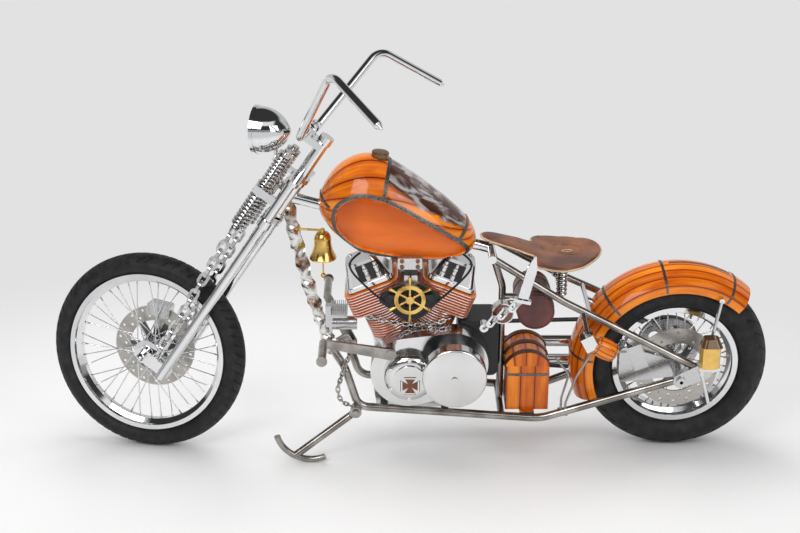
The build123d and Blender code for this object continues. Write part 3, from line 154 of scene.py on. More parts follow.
class Finish:
    """A material with one Principled shader, fed by constants and by expressions."""

    def __init__(self, name, colour=(0.8, 0.8, 0.8), metallic=0.0, roughness=0.5, **constants):
        self.material = bpy.data.materials.new(name)
        self.material.use_nodes = True
        self.tree = self.material.node_tree
        self.shader = self.tree.nodes["Principled BSDF"]
        self.feed(base_color=colour, metallic=metallic, roughness=roughness, **constants)
        place = self.node("ShaderNodeTexCoord")
        self.place = Value(self.tree, place.outputs["Object"])
        parts = self.node("ShaderNodeSeparateXYZ", Vector=self.place)
        self.x, self.y, self.z = (Value(self.tree, socket) for socket in parts.outputs)

    def feed(self, **values):
        """Sets inputs of the shader, named in lower case."""
        for name, value in values.items():
            words = name.replace("_", " ").title().replace("Ior", "IOR")
            link(self.tree, value, self.shader.inputs[words])

    def node(self, kind, settings=None, **sockets):
        """A node with its settings and its inputs set by name."""
        node = self.tree.nodes.new(kind)
        for name, value in (settings or {}).items():
            setattr(node, name, value)
        for name, value in sockets.items():
            link(self.tree, value, node.inputs[name.replace("_", " ")])
        return node

    def vector(self, x, y, z):
        return Value(self.tree, self.node("ShaderNodeCombineXYZ", X=x, Y=y, Z=z).outputs[0])

    def noise(self, scale, detail=3.0, vector=None, distortion=0.0):
        """Fractal noise between about 0.25 and 0.75."""
        node = self.node("ShaderNodeTexNoise", Vector=vector or self.place, Scale=scale, Detail=detail,
                         Distortion=distortion)
        return Value(self.tree, node.outputs[0])

    def cell(self, value):
        """A random number for each whole number that the value passes."""
        node = self.node("ShaderNodeTexWhiteNoise", {"noise_dimensions": "1D"}, W=value.math("FLOOR"))
        return Value(self.tree, node.outputs[0])

    def mix(self, share, first, second):
        """A colour between two colours."""
        node = self.node("ShaderNodeMix", {"data_type": "RGBA"})
        link(self.tree, share, node.inputs[0])
        link(self.tree, first, node.inputs[6])
        link(self.tree, second, node.inputs[7])
        return Value(self.tree, node.outputs[2])

    def bump(self, height, distance=0.001, strength=1.0):
        """Raises the surface by a height of 0 to 1 times a distance in metres."""
        node = self.node("ShaderNodeBump", Height=height, Distance=distance, Strength=strength)
        self.feed(normal=Value(self.tree, node.outputs[0]))

    def along(self, direction, start):
        """Distance along a direction from a start, in metres."""
        node = self.node("ShaderNodeVectorMath", {"operation": "DOT_PRODUCT"})
        link(self.tree, self.place, node.inputs[0])
        node.inputs[1].default_value = direction.normalized()
        return Value(self.tree, node.outputs["Value"]) - start.dot(direction.normalized())

    def upright(self):
        """Metres ahead, left and up from under the rear axle, on the machine when it stands straight."""
        return tuple(self.along(way, under_axle) for way in (ahead, side, upward))


def paint(finish, *nodes):
    """Gives CAD nodes or scene pieces this finish alone."""
    for node in nodes:
        target = frame["nodes"][node] if isinstance(node, str) else node
        target.data.materials.clear()
        target.data.materials.append(finish.material)


# The floor is pale and rough, and fades into the background away from the machine.
FADE_START, FADE_END = 0.9, 2.6
floor_finish = Finish("floor", roughness=0.55)
speck = floor_finish.noise(1.3, 2)
floor_finish.feed(base_color=floor_finish.mix(speck, (0.8, 0.8, 0.8), (0.86, 0.86, 0.86)))
paint(floor_finish, floor)
glow = floor_finish.node("ShaderNodeEmission", Color=BACKGROUND, Strength=1.0)
from_centre = (floor_finish.x * floor_finish.x * 0.35 + floor_finish.y * floor_finish.y).math("SQRT")
blend = floor_finish.node("ShaderNodeMixShader")
link(floor_finish.tree, from_centre.step(FADE_START, FADE_END), blend.inputs[0])
floor_finish.tree.links.new(floor_finish.shader.outputs[0], blend.inputs[1])
floor_finish.tree.links.new(glow.outputs[0], blend.inputs[2])
floor_finish.tree.links.new(blend.outputs[0], floor_finish.tree.nodes["Material Output"].inputs[0])

# Bright metal mirrors a soft box above, a low wall and a backdrop; the rest is lit evenly.
BACKGROUND_TONE, EVEN_LIGHT = 0.95, 0.55
world = bpy.data.worlds.new("studio")
bpy.context.scene.world = world
world.use_nodes = True
sky = world.node_tree
sky.nodes.clear()
sky_place = sky.nodes.new("ShaderNodeTexCoord")
sky_parts = sky.nodes.new("ShaderNodeSeparateXYZ")
sky.links.new(sky_place.outputs["Generated"], sky_parts.inputs[0])
height = Value(sky, sky_parts.outputs[2])
across = Value(sky, sky_parts.outputs[0])
depth = Value(sky, sky_parts.outputs[1])
backdrop = depth.step(0.05, -0.25) * height.band(0.15, 0.45, 0.15) * 0.7
soft_box = depth.step(0.05, 0.3) * height.band(0.62, 0.1, 0.06) * across.band(-0.1, 0.45, 0.15) * 1.1
low_wall = height.band(0.06, 0.05, 0.06) * 0.35
studio_glow = backdrop + soft_box + low_wall + 0.05
rays = sky.nodes.new("ShaderNodeLightPath")
glossy = Value(sky, rays.outputs["Is Glossy Ray"])
camera_ray = Value(sky, rays.outputs["Is Camera Ray"])
see_through = Value(sky, rays.outputs["Is Transmission Ray"])
plain = camera_ray.math("MAXIMUM", see_through)
tone = plain * BACKGROUND_TONE + (1 - plain) * (glossy * studio_glow + (1 - glossy) * EVEN_LIGHT)
background = sky.nodes.new("ShaderNodeBackground")
sky.links.new(tone.socket, background.inputs[1])
sky_out = sky.nodes.new("ShaderNodeOutputWorld")
sky.links.new(background.outputs[0], sky_out.inputs[0])

for name, spot, size, power in LAMPS:
    lamp_data = bpy.data.lights.new(name, "AREA")
    lamp_data.size = size
    lamp_data.energy = power
    lamp = placed(name, lamp_data)
    lamp.location = spot
    lamp.rotation_euler = (LAMP_TARGET - Vector(spot)).to_track_quat("-Z", "Y").to_euler()
    lamp.visible_glossy = name in ("key_light", "fill_light")

# The machine's own directions: side is the rear axle's, up and ahead follow from it.
# The fork has directions of its own, turned to the right about the steering axis.
REAR_RADIUS, FRONT_RADIUS = 322.5, 348
FORK_OFFSET = 95
rake = radians(33.6)
side = Vector(joints["rear_wheel_spin"]["axis"]).normalized()
ahead = side.cross(Vector((0, 0, 1))).normalized()
upward = ahead.cross(side).normalized()
under_axle = rear_axle - upward * (REAR_RADIUS / 1000)
front_axle = Vector(joints["front_wheel_spin"]["pos_m"])
fork_side = Vector(joints["front_wheel_spin"]["axis"]).normalized()
fork_up = Vector(joints["steering"]["axis"]).normalized()
fork_ahead = fork_side.cross(fork_up).normalized()


def ways(origin, first, second, third):
    """A function that takes millimetres along three ways from an origin to a place."""
    return lambda x, y, z: origin + (first * x + second * y + third * z) / 1000


at = ways(under_axle, ahead, side, upward)
on_fork = ways(front_axle - fork_ahead * (FORK_OFFSET / 1000), fork_ahead, fork_side, fork_up)
rear_hub = ways(rear_axle, ahead, side, upward)
front_hub = ways(front_axle, fork_ahead * cos(rake) - fork_up * sin(rake), fork_side,
                 fork_ahead * sin(rake) + fork_up * cos(rake))


def piece(name, vertices, faces, finish, body, crease=35):
    """A mesh in the shared frame that rides on a body, with edges sharper than the crease kept sharp."""
    mesh = bpy.data.meshes.new(name)
    mesh.from_pydata([tuple(vertex) for vertex in vertices], [], faces)
    mesh.validate()
    mesh.polygons.foreach_set("use_smooth", [True] * len(mesh.polygons))
    mesh.set_sharp_from_angle(angle=radians(crease))
    made = placed(name, mesh)
    paint(finish, made)
    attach(made, body)
    return made


def grid(rows, columns, wrap_rows=False, wrap_columns=False):
    """The faces of a net of points numbered row by row."""
    faces = []
    for row in range(rows if wrap_rows else rows - 1):
        for column in range(columns if wrap_columns else columns - 1):
            below, beside = (row + 1) % rows, (column + 1) % columns
            faces.append((row * columns + column, row * columns + beside,
                          below * columns + beside, below * columns + column))
    return faces


def shell(rings, around):
    """The faces of a closed form made of rings of points, with a flat cap at each end."""
    caps = [tuple(reversed(range(around))), tuple((rings - 1) * around + step for step in range(around))]
    return grid(rings, around, False, True) + caps


def worn(name, first, second, metallic, grain, rough, steps=None, bump=None, **constants):
    """A finish that goes between two colours, and in roughness, with noise of a scale and detail."""
    finish = Finish(name, first, metallic, **constants)
    tone = finish.noise(*grain)
    finish.feed(
        base_color=finish.mix(tone.step(*steps) if steps else tone, first, second),
        roughness=rough[0] + tone * rough[1] if isinstance(rough, tuple) else rough,
    )
    if bump:
        finish.bump(tone, *bump)
    return finish


# Tyres: black rubber with moulded tread grooves, matt on the crown and smoother on the walls.
# Each is a net turned round its axle whose crown points sink where a groove runs.
TREAD_STEPS = 720
SHOULDER = radians(55)
GROOVE_HALF, PLAIN_MIDDLE, GROOVE_END = 0.14, 0.16, 1.02
rubber = worn("tyre_rubber", (0.007, 0.007, 0.008), (0.022, 0.021, 0.021), 0.0, (35, 4), (0.48, 0.25),
              (0.35, 0.75), specular_ior_level=0.35)
rubber.bump(rubber.noise(900, 3), 0.0003, 0.5)


def bow(start, middle, end, count):
    """Points of an arc from start through middle to end."""
    (ax, ay), (bx, by), (cx, cy) = start, middle, end
    twice = 2 * (ax * (by - cy) + bx * (cy - ay) + cx * (ay - by))
    a2, b2, c2 = ax * ax + ay * ay, bx * bx + by * by, cx * cx + cy * cy
    ox = (a2 * (by - cy) + b2 * (cy - ay) + c2 * (ay - by)) / twice
    oy = (a2 * (cx - bx) + b2 * (ax - cx) + c2 * (bx - ax)) / twice
    radius = hypot(ax - ox, ay - oy)
    first, last = atan2(ay - oy, ax - ox), atan2(cy - oy, cx - ox)
    if last - first > pi:
        last -= 2 * pi
    if first - last > pi:
        last += 2 * pi
    return [
        (ox + radius * cos(turn), oy + radius * sin(turn))
        for turn in np.linspace(first, last, count)
    ]


def full_turn(count):
    """Evenly spaced angles round a circle."""
    return np.linspace(0, 2 * pi, count, endpoint=False)


def make_tyre(name, body, hub, radius, half_width, crown, bead, lip, bead_half, pitches, sweep, depth):
    """One tyre with so many tread pitches round it, each stroke swept back towards the shoulder."""
    centre = radius - crown
    edge = (centre + crown * cos(SHOULDER), crown * sin(SHOULDER))
    widest = ((edge[0] + lip) / 2 + 4, half_width)
    wall = bow((lip + 3, bead_half - 1), widest, edge, 12)[:-1]
    crown_row = [
        (centre + crown * cos(turn), crown * sin(turn))
        for turn in np.linspace(SHOULDER, -SHOULDER, 45)
    ]
    half = [(bead, bead_half), (lip - 1, bead_half)] + wall
    profile = np.array(half + crown_row + [(r, -y) for r, y in reversed(half)])
    share = profile[:, 1] / crown / sin(SHOULDER)
    turns = full_turn(TREAD_STEPS)[:, None]
    phase = turns * pitches / (2 * pi) + np.abs(share)[None, :] * sweep + (share > 0)[None, :] * 0.5
    stroke = np.clip((GROOVE_HALF - np.abs(phase % 1 - 0.5)) * 12, 0, 1)
    reach = np.clip((np.abs(share) - PLAIN_MIDDLE) * 9, 0, 1)
    reach = reach * np.clip((GROOVE_END - np.abs(share)) * 12, 0, 1)
    on_crown = (profile[:, 0] > edge[0] - 1)[None, :]
    sunk = stroke * reach * on_crown * depth
    radii = profile[:, 0][None, :] - sunk * np.cos(share * SHOULDER)
    widths = profile[:, 1][None, :] - sunk * np.sin(share * SHOULDER)
    origin, x_way, y_way, z_way = (
        np.array(hub(*spot)) for spot in ((0, 0, 0), (1000, 0, 0), (0, 1000, 0), (0, 0, 1000))
    )
    x_way, y_way, z_way = x_way - origin, y_way - origin, z_way - origin
    ring = np.cos(turns)[:, :, None] * x_way + np.sin(turns)[:, :, None] * z_way
    spots = origin + (ring * radii[:, :, None] + y_way * widths[:, :, None]) / 1000
    columns = len(profile)
    made = piece(name, spots.reshape(-1, 3), grid(TREAD_STEPS, columns, True, True), rubber, body)
    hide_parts(body.replace("_wheel", "_tyre"))


make_tyre("rear_tread", "rear_wheel", rear_hub, radius=REAR_RADIUS, half_width=75, crown=78,
          bead=203, lip=217, bead_half=46, pitches=34, sweep=1.5, depth=6)
make_tyre("front_tread", "front_wheel", front_hub, radius=FRONT_RADIUS, half_width=48, crown=50,
          bead=270, lip=281, bead_half=33, pitches=64, sweep=0.8, depth=4)


# Wire wheels: chromed rims, hubs and spokes, with a nickel nipple at each spoke's foot and a
# rubber valve. The nipples are small turned pieces set along the spokes.
SPOKES, LACING = 40, 48
HUB_RADIUS = 38
NIPPLE = ((1.2, -1), (3.1, 0), (3.1, 7), (2.6, 8), (2.6, 15), (2.0, 16))
VALVE = ((4, -2), (4, 10), (3, 14), (2.6, 30), (3.4, 31), (3.4, 37), (2, 38))
chrome = Finish("chrome", (0.8, 0.81, 0.82), 1.0, 0.07)
haze = chrome.noise(14, 3)
chrome.feed(
    base_color=chrome.mix(haze, (0.66, 0.67, 0.69), (0.86, 0.86, 0.86)),
    roughness=0.035 + haze.step(0.35, 0.8) * 0.1,
)
chrome.bump(chrome.noise(60, 2), 0.0002, 0.3)
paint(chrome, "front_wheel", "rear_wheel")


def lathe(name, places, profile, steps, finish, body, crease=35):
    """Turned pieces, one at each foot along its direction, from radii and heights in millimetres."""
    vertices, faces = [], []
    for foot, direction in places:
        run = direction.normalized()
        across = run.orthogonal().normalized()
        beside = run.cross(across)
        base = len(vertices)
        for radius, height in profile:
            for step in range(steps):
                turn = 2 * pi * step / steps
                out = across * cos(turn) + beside * sin(turn)
                vertices.append(foot + (run * height + out * radius) / 1000)
        faces += [tuple(base + corner for corner in face) for face in shell(len(profile), steps)]
    return piece(name, vertices, faces, finish, body, crease)


def spoke_feet(hub, well, flange_y):
    """Each spoke's foot in the rim and the way from it to the hub, as the wheel's spokes are laced."""
    places = []
    for index in range(SPOKES):
        flank = 1 if index % 2 else -1
        lead = LACING if index // 2 % 2 else -LACING
        rim_turn = 2 * pi * index / SPOKES
        hub_turn = rim_turn + radians(lead)
        foot = hub(well * cos(rim_turn), flank * 5, well * sin(rim_turn))
        crossing = 1.5 if lead > 0 else -1.5
        head = hub(HUB_RADIUS * cos(hub_turn), flank * flange_y + crossing, HUB_RADIUS * sin(hub_turn))
        places.append((foot, head - foot))
    return places


nickel = Finish("spoke_nipple", (0.55, 0.53, 0.5), 1.0, 0.22)
nickel.feed(roughness=0.15 + nickel.noise(90, 2) * 0.2)
WHEELS = (("rear", rear_hub, 183.5, 45, -120, -139), ("front", front_hub, 250.5, 33, -160, 193))
for word, hub, well, flange_y, _, _ in WHEELS:
    lathe(f"{word}_nipples", spoke_feet(hub, well, flange_y), NIPPLE, 8, nickel, f"{word}_wheel")
for word, hub, _, _, valve_x, valve_z in WHEELS:
    foot = hub(valve_x, 0, valve_z)
    lathe(f"{word}_valve", [(foot, hub(0, 0, 0) - foot)], VALVE, 12, rubber, f"{word}_wheel")


# Brake discs and callipers: brushed steel rings on dark carriers, with the brushing running round.
# The carrier of each disc is told from its ring by the distance from the axle.
CARRIER_EDGE = 0.091
DISCS = (("rear", rear_hub, 67.5, side), ("front", front_hub, -54.5, -fork_side))
BUTTON_CIRCLE = 84
BUTTON = ((5.5, -1), (5.5, 1.2), (4, 2), (1.5, 2.2), (1.5, 1), (0.5, 1))


def disc_steel(name, hub):
    """Brushed steel whose grain runs round an axle."""
    steel = Finish(name, (0.5, 0.48, 0.45), 1.0, 0.3)
    x_way, z_way = (hub(1000, 0, 0) - hub(0, 0, 0)), (hub(0, 0, 1000) - hub(0, 0, 0))
    x, z = steel.along(x_way, hub(0, 0, 0)), steel.along(z_way, hub(0, 0, 0))
    radius = x.far(z)
    grain = steel.noise(1, 5, vector=steel.vector(radius * 1500, 0.5, 0.5))
    ring = radius.step(CARRIER_EDGE, CARRIER_EDGE + 0.003)
    brushed_tone = steel.mix(grain, (0.36, 0.34, 0.31), (0.62, 0.6, 0.56))
    steel.feed(base_color=steel.mix(ring, (0.14, 0.14, 0.145), brushed_tone), roughness=0.2 + grain * 0.25)
    return steel


for word, hub, height, way in DISCS:
    paint(disc_steel(f"{word}_disc_steel", hub), f"{word}_disc")
    feet = [(hub(BUTTON_CIRCLE * cos(turn), height, BUTTON_CIRCLE * sin(turn)), way)
            for turn in (radians(60 * number) for number in range(6))]
    lathe(f"{word}_disc_buttons", feet, BUTTON, 12, chrome, f"{word}_wheel")
satin = worn("satin_alloy", (0.48, 0.48, 0.49), (0.7, 0.7, 0.7), 1.0, (240, 4), (0.16, 0.18),
             bump=(0.0002, 0.4))
paint(satin, "rear_brake", "front_brake", "axle_plates")


# Belt drive on the right: a black toothed belt of rubber that runs on a cast pulley.
# The teeth are a wave along the machine, 8 mm from one to the next.
belt = worn("belt_rubber", (0.01, 0.01, 0.011), (0.03, 0.03, 0.03), 0.0, (60, 3), 0.6)
TOOTH_WAVE = 785
belt.bump((belt.upright()[0] * TOOTH_WAVE).math("SINE") * 0.5 + 0.5, 0.0006, 0.6)
paint(belt, "drive_belt")
paint(satin, "rear_pulley")


# Fork: chromed tubes, trees and rockers, coil springs of bright wire, and chains down the legs.
# The front axle wears a pointed cap on each side.
AXLE_CAP = ((14, -1), (14, 3), (11, 6), (9, 10), (6, 14), (2, 16), (0.5, 16.2))
paint(chrome, "fork", "rockers", "handlebar", "headlight")
wire_steel = worn("bright_wire", (0.4, 0.39, 0.38), (0.75, 0.75, 0.75), 1.0, (50, 4), (0.1, 0.15), (0.3, 0.7))
paint(wire_steel, "fork_springs", "fork_chains", "seat_springs")
lathe("axle_caps", [(on_fork(FORK_OFFSET, flank * 88, 0), fork_side * flank) for flank in (1, -1)],
      AXLE_CAP, 20, chrome, "steering")


# Headlight: a chromed bowl with a clear glass lens held in its rim.
# The lens is moulded with fine ribs.
RIB_WAVE = 900
lens = Finish("lens_glass", (0.95, 0.97, 1.0), 0.0, 0.02, transmission_weight=1.0, ior=1.2)
lens.bump((lens.x * RIB_WAVE).math("SINE") * 0.5 + 0.5, 0.0006, 0.3)
paint(lens, "headlight_lens")


# Frame: tubes of dull nickel that has darkened with wear, and the twisted square downtube in front,
# which is brighter and has rust in its hollows.
pewter = worn("worn_nickel", (0.24, 0.22, 0.2), (0.5, 0.48, 0.45), 1.0, (11, 5), (0.14, 0.2), (0.35, 0.7))
pewter.bump(pewter.noise(420, 3), 0.0002, 0.4)
paint(pewter, "lower_rails", "upper_rails", "seat_post", "side_stand", "foot_controls")
paint(chrome, "backbone", "fender_stays", "shift_lever")
paint(worn("twisted_bar", (0.74, 0.73, 0.7), (0.2, 0.09, 0.045), 1.0, (16, 5), (0.08, 0.25), (0.5, 0.68)),
      "downtube")


# Fuel tank: lacquered like bent wooden planks, bound with dark pewter straps and rivets.
# The planks run from nose to tail and are told by their angle round the tank's long axis.
TANK_SLOPE, TANK_AXIS = 0.17, 0.7
TANK_BOARDS = 8.5
TOP_SLOPE, TOP_START = 0.68, 0.31
LACQUER = {"light": (0.84, 0.245, 0.012), "deep": (0.4, 0.05, 0.003), "seam": (0.07, 0.009, 0.002)}


def lacquer(name):
    """Clear gloss lacquer, ready for its planks."""
    return Finish(name, LACQUER["light"], 0.0, 0.2, coat_weight=0.6, coat_roughness=0.03,
                  specular_ior_level=0.12)


def planks(finish, across, along):
    """Board colours: across counts the boards and along runs with them, in metres."""
    tint = finish.cell(across)
    edge = ((across.math("FRACT") - 0.5) * 2).math("ABSOLUTE")
    grain = finish.noise(1, 5, finish.vector(along * 7, across * 5, tint * 30), 0.6)
    cloud = finish.noise(1, 2, finish.vector(along * 9, across * 1.2, tint * 9))
    depth = (grain * 0.5 + cloud * 0.6 + tint * 0.3 - 0.35).step(0.05, 0.75)
    body = finish.mix(depth, LACQUER["light"], LACQUER["deep"])
    shaded = finish.mix(edge.step(0.45, 1.0) * 0.75, body, LACQUER["deep"])
    return finish.mix(edge.step(0.9, 0.965), shaded, LACQUER["seam"])


PANEL = ((1166, 884), (1154, 930), (1112, 962), (1060, 972), (968, 942), (826, 850), (756, 796),
         (735, 758), (790, 741), (900, 748), (1008, 768), (1100, 796), (1150, 838))
TANK = (
    (1223, 925, 890, 908, 16, 2.0),
    (1216, 949, 868, 902, 42, 2.1),
    (1198, 985, 842, 898, 74, 2.2),
    (1172, 1022, 812, 894, 102, 2.3),
    (1135, 1053, 784, 888, 125, 2.4),
    (1090, 1072, 752, 884, 140, 2.6),
    (1040, 1074, 738, 880, 146, 2.7),
    (980, 1054, 730, 872, 146, 2.7),
    (900, 1000, 722, 852, 137, 2.8),
    (820, 938, 719, 828, 119, 2.8),
    (755, 880, 724, 804, 94, 2.6),
    (716, 836, 738, 790, 64, 2.3),
    (698, 800, 764, 780, 30, 2.0),
)


def skin(node):
    """A CAD node's surface, to look for points on."""
    mesh = frame["nodes"][node].data
    return BVHTree.FromPolygons([v.co.copy() for v in mesh.vertices], [p.vertices[:] for p in mesh.polygons])


def find(surface, start, goal):
    """The first point of a surface seen from start towards goal, with its outward normal."""
    spot, normal, _, _ = surface.ray_cast(start, (goal - start).normalized())
    if spot is None:
        spot, normal, _, _ = surface.find_nearest(goal)
    if normal.dot(start - spot) < 0:
        normal = -normal
    return spot, normal


def smooth_loop(knots, count, closed=True):
    """A smooth line through points, closed or open, as that many points in even shares of each span."""
    points = [np.array(knot, float) for knot in knots]
    total = len(points)
    spans = total if closed else total - 1
    line = []
    for index in range(count):
        place = index / count * spans if closed else index / (count - 1) * spans
        start = min(int(place), spans - 1)
        t = place - start
        a, b, c, d = (
            points[(start + shift) % total] if closed else points[min(max(start + shift, 0), total - 1)]
            for shift in (-1, 0, 1, 2)
        )
        line.append(0.5 * (2 * b + (c - a) * t + (2 * a - 5 * b + 4 * c - d) * t * t
                           + (3 * b - a - 3 * c + d) * t * t * t))
    return line


def laid(name, surface, rows, height, finish, closed=False):
    """A flat strap on a surface: each row across it holds pairs of points to look from and towards."""
    vertices = []
    width = len(rows[0])
    for row in rows:
        for index, (start, goal) in enumerate(row):
            spot, normal = find(surface, start, goal)
            rise = -0.8 if index in (0, width - 1) else height
            vertices.append(spot + normal * rise / 1000)
    return piece(name, vertices, grid(len(rows), width, closed), finish, "frame", 40)


def across_strap(half):
    """Places across a strap of that half width, close at its edges."""
    return (-half, -half * 0.93, -half * 0.4, half * 0.4, half * 0.93, half)


strap_metal = worn("strap_pewter", (0.075, 0.077, 0.082), (0.24, 0.235, 0.225), 0.85, (260, 3),
                   (0.24, 0.2), (0.35, 0.7), (0.0005, 0.6))
RIVET = ((2.2, -1), (2.2, 0.6), (1.9, 1.3), (1.2, 1.9), (0.4, 2.1))


def rivet(name, found, rise=0.0014, steps=8):
    """Rivets with round heads on places found on a surface, raised by the strap's height in metres."""
    feet = [(spot + normal * rise, normal) for spot, normal in found]
    lathe(name, feet, RIVET, steps, strap_metal, "frame")


tank_finish = lacquer("tank_planks")
tank_ahead, tank_left, tank_up = tank_finish.upright()
axis_up = tank_up - (tank_ahead * TANK_SLOPE + TANK_AXIS)
spread = tank_left.math("ABSOLUTE")
bend = (tank_ahead - 0.96) * (tank_ahead - 0.96) * 3.0
around_axis = axis_up.math("ARCTAN2", spread) + bend
boards = planks(tank_finish, around_axis * (TANK_BOARDS / pi) + 0.2, tank_ahead)
smoke_place = tank_finish.vector(tank_ahead * 9 + tank_up * 6, (tank_up - tank_ahead * TOP_SLOPE) * 34,
                                 spread * 16)
smoke = tank_finish.noise(1, 5, smoke_place, 1.1)
swirl = tank_finish.mix(smoke.step(0.42, 0.62), (0.012, 0.012, 0.014), (0.33, 0.34, 0.35))
top_line = tank_up - (tank_ahead * TOP_SLOPE + TOP_START) + (smoke - 0.5) * 0.05
misty = top_line.step(0.012, 0.026) * (1 - tank_ahead.step(0.99, 0.995)) * tank_ahead.step(0.728, 0.74)
tank_finish.feed(base_color=tank_finish.mix(misty * 0.92, boards, swirl))
panel_finish = lacquer("tank_panel")
panel_ahead, panel_left, panel_up = panel_finish.upright()
panel_place = panel_finish.vector(panel_ahead * 6, panel_left * 8, panel_up * 34)
panel_grain = panel_finish.noise(1, 4, panel_place, 0.8)
# Painted shade: the sunk panel is darkened towards its top and towards its front.
panel_painted_shade = (panel_up - (panel_ahead * 0.35 + 0.5)).step(-0.02, 0.085) * 0.55 + panel_ahead.step(1.06, 1.15) * 0.45
panel_tone = panel_finish.mix(panel_grain, (0.8, 0.18, 0.009), (0.6, 0.09, 0.005))
panel_finish.feed(base_color=panel_finish.mix(panel_painted_shade, panel_tone, (0.27, 0.03, 0.003)))

outline = smooth_loop(PANEL, 156)
centre_line = sum(outline) / len(outline)


def inside_panel(x, z):
    """How far a place lies inside the drop-shaped outline, in millimetres, negative outside."""
    loop = np.array(outline)
    after = np.roll(loop, -1, axis=0)
    run = after - loop
    share = np.clip(((x - loop[:, 0]) * run[:, 0] + (z - loop[:, 1]) * run[:, 1]) / (run ** 2).sum(1), 0, 1)
    near = np.hypot(x - loop[:, 0] - share * run[:, 0], z - loop[:, 1] - share * run[:, 1]).min()
    crosses = (loop[:, 1] > z) != (after[:, 1] > z)
    at_x = loop[:, 0] + (z - loop[:, 1]) * run[:, 0] / np.where(run[:, 1] == 0, 1e-9, run[:, 1])
    return near if (crosses & (x < at_x)).sum() % 2 else -near


def within(share):
    """A share held between 0 and 1."""
    return min(max(share, 0), 1)


AROUND_TANK = 176
PANEL_DEPTH, PANEL_SLOPE = 9, 5
TUNNEL_HALF, TUNNEL_FLOOR, TUNNEL_ROOF = 86, 744, 790
tank_rows = smooth_loop(TANK, 170, False)
tank_spots, sunk = [], []
for x, top, bottom, wide, half, power in tank_rows:
    for step in range(AROUND_TANK):
        turn = 2 * pi * step / AROUND_TANK
        flat, tall = cos(turn), sin(turn)
        exponent = 2 / power if tall < 0 else 2 / 2.1
        y = half * abs(flat) ** exponent * (1 if flat > 0 else -1)
        rise = (top - wide if tall > 0 else wide - bottom) * abs(tall) ** exponent
        z = wide + rise * (1 if tall > 0 else -1)
        if abs(y) < TUNNEL_HALF and z < TUNNEL_ROOF:
            z = max(z, TUNNEL_FLOOR)
        depth = inside_panel(x, z) if abs(y) > 20 else -9
        hollow = within(depth / PANEL_SLOPE)
        hollow = hollow * hollow * (3 - 2 * hollow)
        y -= PANEL_DEPTH * hollow * (1 if y > 0 else -1)
        tank_spots.append(at(x, y, z))
        sunk.append(depth > 0.5)
tank_faces = shell(len(tank_rows), AROUND_TANK)
tank_body = piece("tank_body", tank_spots, tank_faces, tank_finish, "frame", 60)
tank_body.data.materials.append(panel_finish.material)
for polygon in tank_body.data.polygons:
    polygon.material_index = int(all(sunk[corner] for corner in polygon.vertices))
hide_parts("tank")
tank_skin = BVHTree.FromPolygons(tank_spots, tank_faces)

STRAP_HALF, STRAP_MIDDLE = 6.0, 6.4
for flank, word in ((1, "left"), (-1, "right")):
    rows, rivets = [], []
    for index, spot in enumerate(outline):
        run = outline[(index + 1) % len(outline)] - outline[index - 1]
        out = np.array((run[1], -run[0])) / np.linalg.norm(run)
        if np.dot(out, spot - centre_line) < 0:
            out = -out
        row = []
        for shift in across_strap(STRAP_HALF):
            x, z = spot + out * (STRAP_MIDDLE + shift)
            row.append((at(x, flank * 400, z), at(x, flank * 20, z)))
        rows.append(row)
        if index % 6 == 0:
            x, z = spot + out * STRAP_MIDDLE
            rivets.append(find(tank_skin, at(x, flank * 400, z), at(x, flank * 20, z)))
    strap = laid(f"tank_strap_{word}", tank_skin, rows, 1.8, strap_metal, True)
    rivet(f"tank_rivets_{word}", rivets, 0.0016)


def hoop(name, start, middle, end, half, inner):
    """A riveted strap over the tank from start through middle to end, looked for towards an inner point."""
    rows, rivets = [], []
    line = [Vector(spot) for spot in smooth_loop((start, middle, end), 48, False)]
    inner = Vector(inner)
    for index, spot in enumerate(line):
        run = (line[min(index + 1, len(line) - 1)] - line[max(index - 1, 0)]).normalized()
        out = (spot - inner).normalized()
        wide = run.cross(out).normalized()
        row = []
        for shift in across_strap(half):
            place = spot + wide * shift
            row.append((at(*(place + out * 60)), at(*(inner + wide * shift))))
        rows.append(row)
        if index % 6 == 3:
            rivets.append(find(tank_skin, at(*(spot + out * 60)), at(*inner)))
    laid(name, tank_skin, rows, 1.6, strap_metal)
    rivet(f"{name}_rivets", rivets)


hoop("tank_strap_front", (1184, -90, 922), (1216, 0, 945), (1184, 90, 922), 5, (1080, 0, 880))
hoop("tank_strap_middle", (1004, -128, 968), (985, 0, 1058), (1004, 128, 968), 6, (1000, 0, 870))
hoop("tank_strap_rear", (762, -92, 806), (724, 0, 850), (762, 92, 806), 6, (780, 0, 790))
paint(tank_finish, "tank")


# Filler cap: a turned bronze cap, dark with age, that screws onto the tank's neck.
# It stands for the lower cap of the CAD, because this tank is fuller.
CAP = ((30, -6), (30, 3), (27.5, 4), (27.5, 6), (29, 7), (29, 21), (27, 23), (12, 24), (4, 24.4))
cap_metal = worn("cap_bronze", (0.11, 0.055, 0.03), (0.34, 0.2, 0.1), 0.9, (70, 4), (0.2, 0.25),
                 bump=(0.0004, 0.5))
CAP_PLACE = (1019, 0, 1064)
filler = lathe("filler_cap", [(at(*CAP_PLACE), upward - ahead * 0.12)], CAP, 48, cap_metal, "frame")
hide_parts("fuel_cap")


